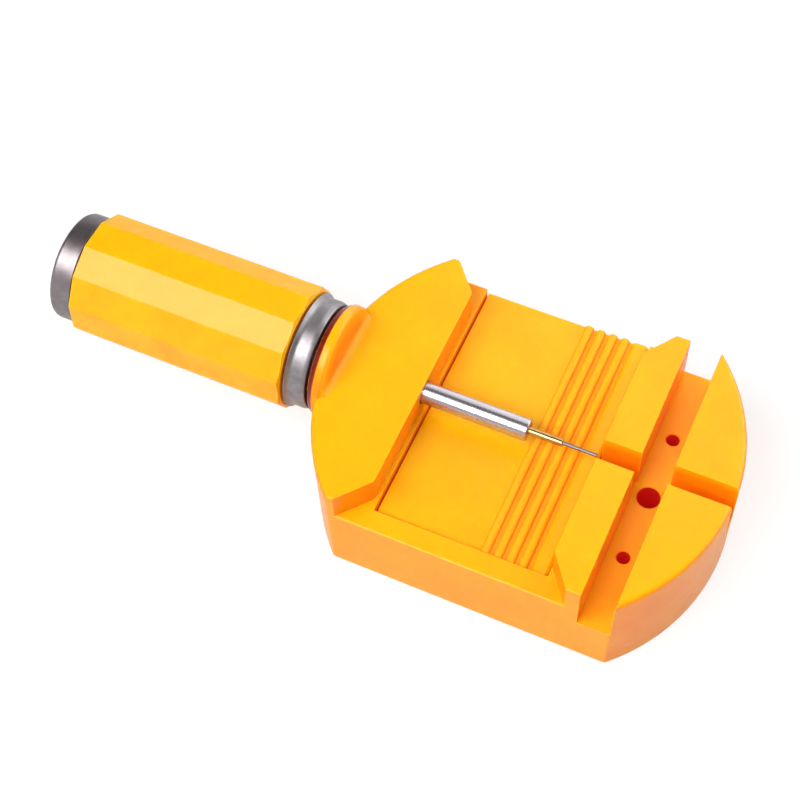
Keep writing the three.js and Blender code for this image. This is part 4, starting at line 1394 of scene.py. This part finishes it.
@dataclass
class HeightWheel:
    """The dished wheel under the block that lifts the tray."""

    underside: float = 0.4
    face: float = 10.6
    flange: float = 13.0
    flange_span: Span = (2.3, 5.1)
    hub: float = 3.0
    top: float = 13.3
    dish: float = 8.8
    dish_depth: float = 1.5
    bar: float = 1.5
    notches: int = 18
    notch: float = 0.7
    edge: float = 0.3
    finish: MouldedPlastic = MouldedPlastic("yellow_wheel_moulding")

    def build(self) -> list[Piece]:
        """Builds the wheel.

        Returns:
            Its one piece.
        """
        low, high = self.flange_span
        corners = [
            Corner(self.underside, 0),
            Corner(self.underside, self.face, 0.35),
            Corner(low, self.face),
            Corner(low, self.flange, 0.2),
            Corner(high, self.flange, 0.2),
            Corner(high, self.hub),
            Corner(self.top, self.hub, 0.4),
            Corner(self.top, 0),
        ]
        shape = turned("lift_wheel", corners, 72, Axis.UP, (LIFT_X, 0, 0))
        floor = self.underside + self.dish_depth
        dish = peg("dish", self.dish, Axis.UP, (LIFT_X, 0, -PAST), floor + PAST, 72)
        across = self.dish + 0.2
        bar = block("bar", (LIFT_X - across, -self.bar, -2 * PAST), (LIFT_X + across, self.bar, floor + PAST))
        put_together(dish, bar)
        put_together(shape, dish)
        for index in range(self.notches):
            turn = index * math.tau / self.notches
            foot = (LIFT_X + self.flange * math.cos(turn), self.flange * math.sin(turn), low - 0.8)
            put_together(shape, peg("notch", self.notch, Axis.UP, foot, 5, 12))
        ease_edges(shape, self.edge, sharp=50)
        return [finished(shape, self.finish.material(), "wheel", "yellow_wheel", "height_wheel")]


# stem, rod and driver


@dataclass
class Stem:
    """The threaded stem on the neck, with its flange and three screws."""

    front: float = -47.6
    flange: float = 9.4
    thickness: float = 1.8
    length: float = 32.0
    crest: float = 6.0
    depth: float = 0.7
    pitch: float = 1.75
    flanks: tuple[float, ...] = (0.18, 0.42, 0.62, 0.86)  # where they start and end in one pitch
    turns: int = 22
    bore: float = 2.8
    screw: Screw = Screw(1.5, 0.8, 0.8, 8.0, 0.8, (0.1, 0.2), (0.9, 0.17, 0.4), 28)
    finish: PlatedSteel = PlatedSteel("plated_thread")
    screw_finish: PlatedSteel = PlatedSteel("plated_stem_screw", roughness=0.3)

    def thread(self) -> Shape:
        """The threaded bar, made by winding one pitch round the axis.

        Returns:
            The bar, trimmed at both ends.
        """
        root = self.crest - self.depth
        rear = self.front - self.length
        radii = (root, root, self.crest, self.crest, root, root)
        steps = zip((0.0, *self.flanks, 1.0), radii)
        line = [Vector((share * self.pitch * MM, 0, radius * MM)) for share, radius in steps]
        shape = drawn_line("thread", line)
        bpy.ops.object.mode_set(mode="OBJECT")
        take_up(shape)
        modifier = shape.modifiers.new("winding", "SCREW")
        modifier.axis = "X"
        modifier.screw_offset = self.pitch * MM
        modifier.iterations = self.turns
        modifier.steps = modifier.render_steps = 36
        modifier.use_merge_vertices = True
        modifier.merge_threshold = 0.00001
        bpy.ops.object.modifier_apply(modifier=modifier.name)
        with shaping(shape):
            pick_all()
            bpy.ops.transform.translate(value=place(rear - 3 * self.pitch, 0, FEED_HEIGHT))
            trim(place(rear, 0, 0), (-1, 0, 0))
            trim(place(self.front - self.thickness + 0.4, 0, 0), (1, 0, 0))
            close_up()
        return shape

    def build(self) -> list[Piece]:
        """Builds the stem and its screws.

        Returns:
            The pieces.
        """
        rear = self.front - self.thickness
        corners = [
            Corner(rear, 0),
            Corner(rear, self.flange, 0.25),
            Corner(self.front, self.flange, 0.1),
            Corner(self.front, 0),
        ]
        shape = turned("neck_stem", corners, 72)
        put_together(shape, self.thread(), Join.ADD)
        foot = (rear - self.length, 0, FEED_HEIGHT)
        put_together(shape, peg("bore", self.bore, Axis.ALONG, foot, self.length + 3, 40))
        feet = [Vector((rear, y, FEED_HEIGHT + z)) for y, z in STEM_SCREWS]
        for foot in feet:
            put_together(shape, self.screw.seat(Axis.ALONG, foot, self.thickness + PAST))
        stem = finished(shape, self.finish.material(), "head", "plated_thread", "threaded_stem")
        screw = self.screw.build("neck_screw_1", Axis.ALONG, feet[0])
        steel = self.screw_finish.material()
        first = finished(screw, steel, "head", "plated_screw", "stem_screw_2")
        near = first.twin("neck_screw_2", feet[1] - feet[0], "head", "stem_screw_1")
        far = first.twin("neck_screw_3", feet[2] - feet[0], "head", "stem_screw_3")
        return [stem, first, near, far]


@dataclass
class PushRod:
    """The bright rod with its washers and locknut."""

    radius: float = 2.5
    front: float = 0.1
    rear: float = -83.6
    tail_end: float = -91.0
    tail: float = 1.6
    bore: float = 1.2
    bore_depth: float = 5.6
    washers: tuple[tuple[str, float], ...] = (("front_washer", -84.5), ("rear_washer", -88.3))  # their rears
    washer_radius: float = 4.4
    washer_thickness: float = 0.6
    play: float = 1.9  # the inner radius of washers and nut
    nut_radius: float = 3.2
    nut_height: float = 2.4
    finish: TurnedMetal = TurnedMetal("bright_steel", (0.6, 0.56, 0.6), (0.54, 0.5, 0.54), 0.28, 0.0000003)
    brass: TurnedMetal = TurnedMetal("washer_brass", (0.6, 0.42, 0.18), (0.5, 0.34, 0.14), 0.25)
    nut_finish: PlatedSteel = PlatedSteel("plated_nut")

    def rod(self) -> Shape:
        """The rod, bored in front and turned down behind.

        Returns:
            The rod.
        """
        floor = self.front - self.bore_depth
        corners = [
            Corner(self.tail_end, 0),
            Corner(self.tail_end, self.tail, 0.25),
            Corner(self.rear, self.tail),
            Corner(self.rear, self.radius, 0.15),
            Corner(self.front, self.radius, 0.28),
            Corner(self.front, self.bore, 0.1),
            Corner(floor, self.bore),
            Corner(floor, 0),
        ]
        return turned("bright_rod", corners, 96)

    def washer(self, name: str, rear: float) -> Shape:
        """A thrust washer.

        Args:
            name: Its name.
            rear: Where its rear face lies.

        Returns:
            The washer.
        """
        front = rear + self.washer_thickness
        corners = [
            Corner(rear, self.play, 0.08),
            Corner(rear, self.washer_radius, 0.12),
            Corner(front, self.washer_radius, 0.12),
            Corner(front, self.play, 0.08),
            Corner(rear, self.play),
        ]
        return turned(name, corners, 48)

    def nut(self) -> Shape:
        """The six-sided locknut, chamfered at its rear.

        Returns:
            The nut.
        """
        low = self.tail_end
        wide = self.nut_radius + 0.1
        shape = peg("lock_nut", self.nut_radius, Axis.ALONG, (low, 0, FEED_HEIGHT), self.nut_height, 6)
        cone = [
            Corner(low - PAST, 0),
            Corner(low - PAST, 2.0),
            Corner(low + 0.9, wide),
            Corner(low + 4, wide),
            Corner(low + 4, 0),
        ]
        put_together(shape, turned("cone", cone, 48), Join.KEEP)
        put_together(shape, peg("bore", self.play, Axis.ALONG, (low - PAST, 0, FEED_HEIGHT), 5, 36))
        return shape

    def build(self) -> list[Piece]:
        """Builds the rod and what holds it.

        Returns:
            The pieces.
        """
        pieces = [finished(self.rod(), self.finish.material(), "pusher", "bright_rod", "push_rod")]
        brass = self.brass.material()
        for name, rear in self.washers:
            washer = self.washer(f"brass_{name}", rear)
            pieces.append(finished(washer, brass, "pusher", "brass_washer", name))
        steel = self.nut_finish.material()
        return pieces + [finished(self.nut(), steel, "pusher", "plated_nut", "rod_locknut", 25)]


@dataclass
class Driver:
    """A brass holder with its steel pin, and the spare ones in the handle."""

    shoulder: float = 0.1
    radius: float = 0.9
    tail: float = 5.2
    nose: float = 7.9
    pin: float = 0.4
    pin_length: float = 7.8
    seat: float = 2.4
    spare_shoulder: float = -91.1
    brass: TurnedMetal = TurnedMetal("holder_brass", (0.58, 0.38, 0.16), (0.46, 0.29, 0.11), 0.25)
    steel: TurnedMetal = TurnedMetal("pin_wire", (0.26, 0.22, 0.23), (0.2, 0.165, 0.175), 0.36)

    def holder(self) -> Shape:
        """The brass holder, bored for the pin.

        Returns:
            The holder.
        """
        rear = self.shoulder - self.tail
        front = self.shoulder + self.nose
        bore = self.pin + 0.1
        floor = front - self.seat - 0.1
        corners = [
            Corner(rear, 0),
            Corner(rear, self.radius, 0.15),
            Corner(front, self.radius, 0.2),
            Corner(front, bore, 0.05),
            Corner(floor, bore),
            Corner(floor, 0),
        ]
        return turned("brass_nose", corners, 48)

    def wire(self) -> Shape:
        """The steel pin.

        Returns:
            The pin.
        """
        front = self.shoulder + self.nose
        start, tip = front - self.seat, front + self.pin_length
        corners = [Corner(start, 0), Corner(start, self.pin), Corner(tip, self.pin, 0.1), Corner(tip, 0)]
        return turned("drive_pin", corners, 32)

    def spare(self, piece: Piece, name: str, node: str, spot: Span) -> Piece:
        """A spare that points backwards, in its socket round the axis.

        Args:
            piece: The holder or pin in use.
            name: The spare's name.
            node: What it stands for.
            spot: Its place across and above the axis.

        Returns:
            The spare.
        """
        away = self.spare_shoulder - self.shoulder
        twin = piece.twin(name, Vector((0, *spot)), "handle", node)
        with shaping(twin.shape):
            pick_all()
            stretch((-1, 1, 1), place(self.shoulder, 0, 0))
            bpy.ops.transform.translate(value=(away * MM, 0, 0))
            close_up()
        return twin

    def build(self) -> list[Piece]:
        """Builds the driver and its spares.

        Returns:
            The pieces.
        """
        holder, wire = self.holder(), self.wire()
        nose = finished(holder, self.brass.material(), "driver", "brass_holder", "driver_holder")
        pin = finished(wire, self.steel.material(), "driver", "pin_steel", "driver_pin")
        pieces = [nose, pin]
        for number, spot in enumerate(SPARES, 1):
            pieces.append(self.spare(nose, f"spare_nose_{number}", f"spare_holder_{number}", spot))
            pieces.append(self.spare(pin, f"spare_wire_{number}", f"spare_pin_{number}", spot))
        return pieces


# the handle


@dataclass
class Collar:
    """The steel collar in front of the grip, which flares out to it and is rounded off in front."""

    front: float = -47.9
    radius: float = 12.6
    shoulder: float = 13.45
    rear: float = -53.0
    spigot: float = 10.4
    spigot_rear: float = -62.0
    bore: float = 6.3
    recess: float = 10.0
    recess_depth: float = 2.7
    finish: TurnedMetal = TurnedMetal("collar_steel", (0.36, 0.335, 0.35), (0.27, 0.25, 0.26), 0.46)

    def build(self) -> list[Piece]:
        """Builds the collar.

        Returns:
            Its one piece.
        """
        floor = self.front - self.recess_depth
        corners = [
            Corner(self.spigot_rear, self.bore, 0.2),
            Corner(self.spigot_rear, self.spigot, 0.3),
            Corner(self.rear, self.spigot),
            Corner(self.rear, self.shoulder - 0.7),
            Corner(self.rear + 0.4, self.shoulder, 0.15),
            Corner(self.rear + 1.2, self.radius, 0.9),
            Corner(self.front - 1.0, self.radius, 0.7),
            Corner(self.front - 0.15, self.radius - 0.35, 0.35),
            Corner(self.front, self.radius - 0.6),
            Corner(self.front, self.recess, 0.15),
            Corner(floor, self.recess),
            Corner(floor, self.bore, 0.15),
            Corner(self.spigot_rear, self.bore),
        ]
        shape = turned("steel_collar", corners, 128)
        return [finished(shape, self.finish.material(), "handle", "polished_collar", "handle_collar")]


@dataclass
class Grip:
    """The twelve-sided plastic sleeve of the handle."""

    sides: int = 12
    radius: float = 14.4
    turn: float = 0.2  # the angle of its first corner from the top, in radians
    front: float = -53.3
    rear: float = -105.95
    edge: float = 0.3
    nose: float = 0.6
    bulkhead: Span = (-87.4, -84.8)
    collar_bore: float = 10.7
    collar_floor: float = -62.3
    stem_bore: float = 8.2
    store_bore: float = 10.2
    rod_bore: float = 1.9
    socket: float = 1.2
    # painted shade: a lighter wall colour on its upright facets
    finish: MouldedPlastic = MouldedPlastic("yellow_sleeve", wall=(1.0, 0.42, 0.002), grain=0.000002)

    def sleeve(self) -> Shape:
        """The solid sleeve, rounded along its edges and eased in front.

        Returns:
            The sleeve.
        """
        foot = (self.rear, 0, FEED_HEIGHT)
        shape = peg("faceted_sleeve", self.radius, Axis.ALONG, foot, self.front - self.rear, self.sides)
        self.set_corner(shape)
        with shaping(shape, "EDGE"):
            pick_edges(shape, lambda start, end: min(start.x, end.x) < self.front - 1)
            bpy.ops.mesh.bevel(offset=self.edge * MM, segments=3, affect="EDGES")
        flat = self.radius * math.cos(math.pi / self.sides)
        cone = [
            Corner(self.rear - PAST, 0),
            Corner(self.rear - PAST, self.radius + 1),
            Corner(self.front - self.nose, self.radius + 0.05),
            Corner(self.front - 0.35, flat + 0.05, 0.3),
            Corner(self.front, flat - 0.4),
            Corner(self.front, 0),
        ]
        put_together(shape, turned("cone", cone, 144), Join.KEEP)
        return shape

    def set_corner(self, shape: Shape) -> None:
        """Turns the sleeve so that its first corner stands at its angle from the top.

        Args:
            shape: The sleeve.
        """
        axis = place(*FEED_LINE)
        corner = max((vert.co - axis for vert in shape.data.vertices), key=lambda at: at.z)
        now = math.atan2(-corner.y, corner.z)
        with shaping(shape):
            pick_all()
            bpy.ops.transform.rotate(value=now - self.turn, orient_axis="X", center_override=axis)

    def build(self) -> list[Piece]:
        """Builds the grip.

        Returns:
            Its one piece.
        """
        shape = self.sleeve()
        low, high = self.bulkhead
        mouth = self.front + PAST
        bores = [
            (self.collar_bore, self.collar_floor, mouth),
            (self.stem_bore, high, mouth),
            (self.store_bore, self.rear - PAST, low),
            (self.rod_bore, low - PAST, high + PAST),
        ]
        for radius, start, end in bores:
            put_together(shape, peg("bore", radius, Axis.ALONG, (start, 0, FEED_HEIGHT), end - start, 64))
        for y, z in SPARES:
            foot = (low - PAST, y, FEED_HEIGHT + z)
            put_together(shape, peg("socket", self.socket, Axis.ALONG, foot, 2.8, 24))
        return [finished(shape, self.finish.material(), "handle", "yellow_grip", "handle_grip", 20)]


@dataclass
class Cap:
    """The steel cup at the end of the grip."""

    front: float = -106.2
    rear: float = -112.05
    radius: float = 12.65
    round: float = 1.2
    groove: float = 0.6
    spigot: float = 9.9
    spigot_front: float = -100.3
    inside: float = 8.5
    wall: float = 1.6
    finish: TurnedMetal = TurnedMetal("cap_steel", (0.3, 0.262, 0.272), (0.23, 0.198, 0.206), 0.4, 0.000002)

    def build(self) -> list[Piece]:
        """Builds the cap.

        Returns:
            Its one piece.
        """
        neck = self.radius - self.groove
        floor = self.rear + self.wall
        corners = [
            Corner(self.rear, 0),
            Corner(self.rear, self.radius - self.round * 1.6, 0.3),
            Corner(self.rear, self.radius, self.round),
            Corner(self.front - self.groove, self.radius, 0.12),
            Corner(self.front - self.groove, neck),
            Corner(self.front, neck),
            Corner(self.front, self.spigot),
            Corner(self.spigot_front, self.spigot, 0.3),
            Corner(self.spigot_front, self.inside, 0.15),
            Corner(floor, self.inside, 0.4),
            Corner(floor, 0),
        ]
        shape = turned("steel_cap", corners, 128)
        return [finished(shape, self.finish.material(), "cap", "polished_cap", "end_cap")]


# the studio


@dataclass(frozen=True)
class Lamp:
    """A soft box."""

    name: str
    spot: Point  # where its middle hangs, in millimetres
    facing: Point  # the point that it faces
    size: Span  # its width and height, in metres
    brightness: float  # how bright its face looks, where 1 is white

    def hang(self) -> None:
        """Hangs the lamp in the scene."""
        light = bpy.data.lights.new(self.name, "AREA")
        light.shape = "RECTANGLE"
        light.size, light.size_y = self.size
        light.energy = self.brightness * math.pi * light.size * light.size_y
        lamp = bpy.data.objects.new(self.name, light)
        lamp.location = place(*self.spot)
        lamp.rotation_euler = (lamp.location - place(*self.facing)).to_track_quat("Z", "Y").to_euler()
        bpy.context.scene.collection.objects.link(lamp)


@dataclass
class Studio:
    """The floor, the lights and the camera."""

    yaw: float = 26.0688
    pitch: float = 58.0257
    roll: float = -2.2226
    distance: float = 357.359
    target: Point = (-24.5306, -12.3922, 38.7714)
    focal: float = 1712.575  # in pixels of the picture
    picture: float = 800.0  # how many pixels wide it is
    floor_colour: Colour = (0.7, 0.7, 0.7)
    white: Colour = (1.0, 1.0, 1.0)
    shown_share: float = 0.7  # of the floor's own white where it is looked at
    mirrored_share: float = 0.12  # of the same white where it is mirrored
    lamps: tuple[Lamp, ...] = (
        Lamp("key", (-230.0, -475.0, 740.0), (0.0, 0.0, 0.0), (0.9, 0.5), 7.35),
        Lamp("back", (45.0, 350.0, 395.0), (45.0, 0.0, 395.0), (0.42, 0.67), 1.3),
        Lamp("fill", (480.0, 400.0, 330.0), (0.0, 0.0, 20.0), (0.6, 0.5), 2.7),
    )

    def floor(self) -> None:
        """Lays the floor: pale where it lights the tool, white where it is seen, with the tool's shadow."""
        lay_aside()
        bpy.ops.mesh.primitive_plane_add(size=6, location=(0, 0, 0))
        floor = new_shape("studio_floor")
        board = Board(bpy.data.materials.new("floor_white"))
        path = board.node("ShaderNodeLightPath")
        mirrored = path["Is Glossy Ray"] + path["Is Transmission Ray"]
        shown = path["Is Camera Ray"] * self.shown_share + mirrored * self.mirrored_share
        darker = tuple(share * 0.98 for share in self.floor_colour)
        plain = board.mix(board.noise(board.point(), 30.0, 3.0), self.floor_colour, darker)
        seen = board.mix(path["Is Camera Ray"], plain, self.white)
        board.shine(Base_Color=seen, Roughness=0.9, Specular_IOR_Level=0.0)
        glow = board.node("ShaderNodeEmission", None, {"Color": self.white, "Strength": 1.0})["Emission"]
        diffuse = Wire(board, board.shader.outputs[0])
        blend = board.node("ShaderNodeMixShader", None, {0: shown, 1: diffuse, 2: glow})["Shader"]
        board.feed(board.found("OUTPUT_MATERIAL").inputs[0], blend)
        floor.data.materials.append(board.owner)

    def world(self) -> None:
        """Gives the room a pale horizon that darkens upwards and towards the tool's front."""
        bpy.context.scene.world = bpy.data.worlds.new("studio")
        board = Board(bpy.context.scene.world)
        x, _, z = board.parts(board.node("ShaderNodeTexCoord")["Generated"])
        stops = [(0.12, (0.85, 0.85, 0.85)), (0.4, (0.08, 0.078, 0.08))]
        sky = board.node("ShaderNodeValToRGB", {"stops": stops}, {0: z})["Color"]
        dimming = {"Value": x, "From Min": 0.1, "From Max": 0.6, "To Min": 1.0, "To Max": 0.6}
        board.shine(Color=sky, Strength=board.node("ShaderNodeMapRange", None, dimming)["Result"])

    def camera(self) -> None:
        """Sets the camera at the photograph's angle."""
        yaw, pitch, roll = (math.radians(angle) for angle in (self.yaw, self.pitch, self.roll))
        back = Vector((math.sin(yaw) * math.cos(pitch), -math.cos(yaw) * math.cos(pitch), math.sin(pitch)))
        right = Vector((math.cos(yaw), math.sin(yaw), 0))
        up = back.cross(right)
        tilted_right = right * math.cos(roll) + up * math.sin(roll)
        tilted_up = up * math.cos(roll) - right * math.sin(roll)
        data = bpy.data.cameras.new("camera")
        data.sensor_width = 36
        data.sensor_fit = "HORIZONTAL"
        data.lens = self.focal / self.picture * data.sensor_width
        data.clip_start = 0.01
        camera = bpy.data.objects.new("camera", data)
        turn = Matrix((tilted_right, tilted_up, back)).transposed().to_4x4()
        turn.translation = place(*self.target) + back * self.distance * MM
        camera.matrix_world = turn
        bpy.context.scene.collection.objects.link(camera)
        bpy.context.scene.camera = camera

    def build(self) -> None:
        """Sets up the whole studio."""
        self.floor()
        self.world()
        for lamp in self.lamps:
            lamp.hang()
        self.camera()
        bpy.context.scene.view_settings.view_transform = "Standard"


def main() -> None:
    """Builds the tool and the studio, and reports each piece."""
    logging.basicConfig(level=logging.INFO, format="%(message)s", stream=sys.stdout)
    head = (Housing(), BasePlate(), Tray(), HeightWheel())
    feed = (Stem(), PushRod(), Driver())
    handle = (Collar(), Grip(), Cap())
    pieces = [piece for part in head + feed + handle for piece in part.build()]
    for piece in pieces:
        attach(piece.shape, piece.body)
        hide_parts(*piece.nodes)
        LOG.info("%s rides on %s, %d faces", piece.shape.name, piece.body, len(piece.shape.data.polygons))
    Studio().build()
    lay_aside()


if __name__ == "__main__":
    main()
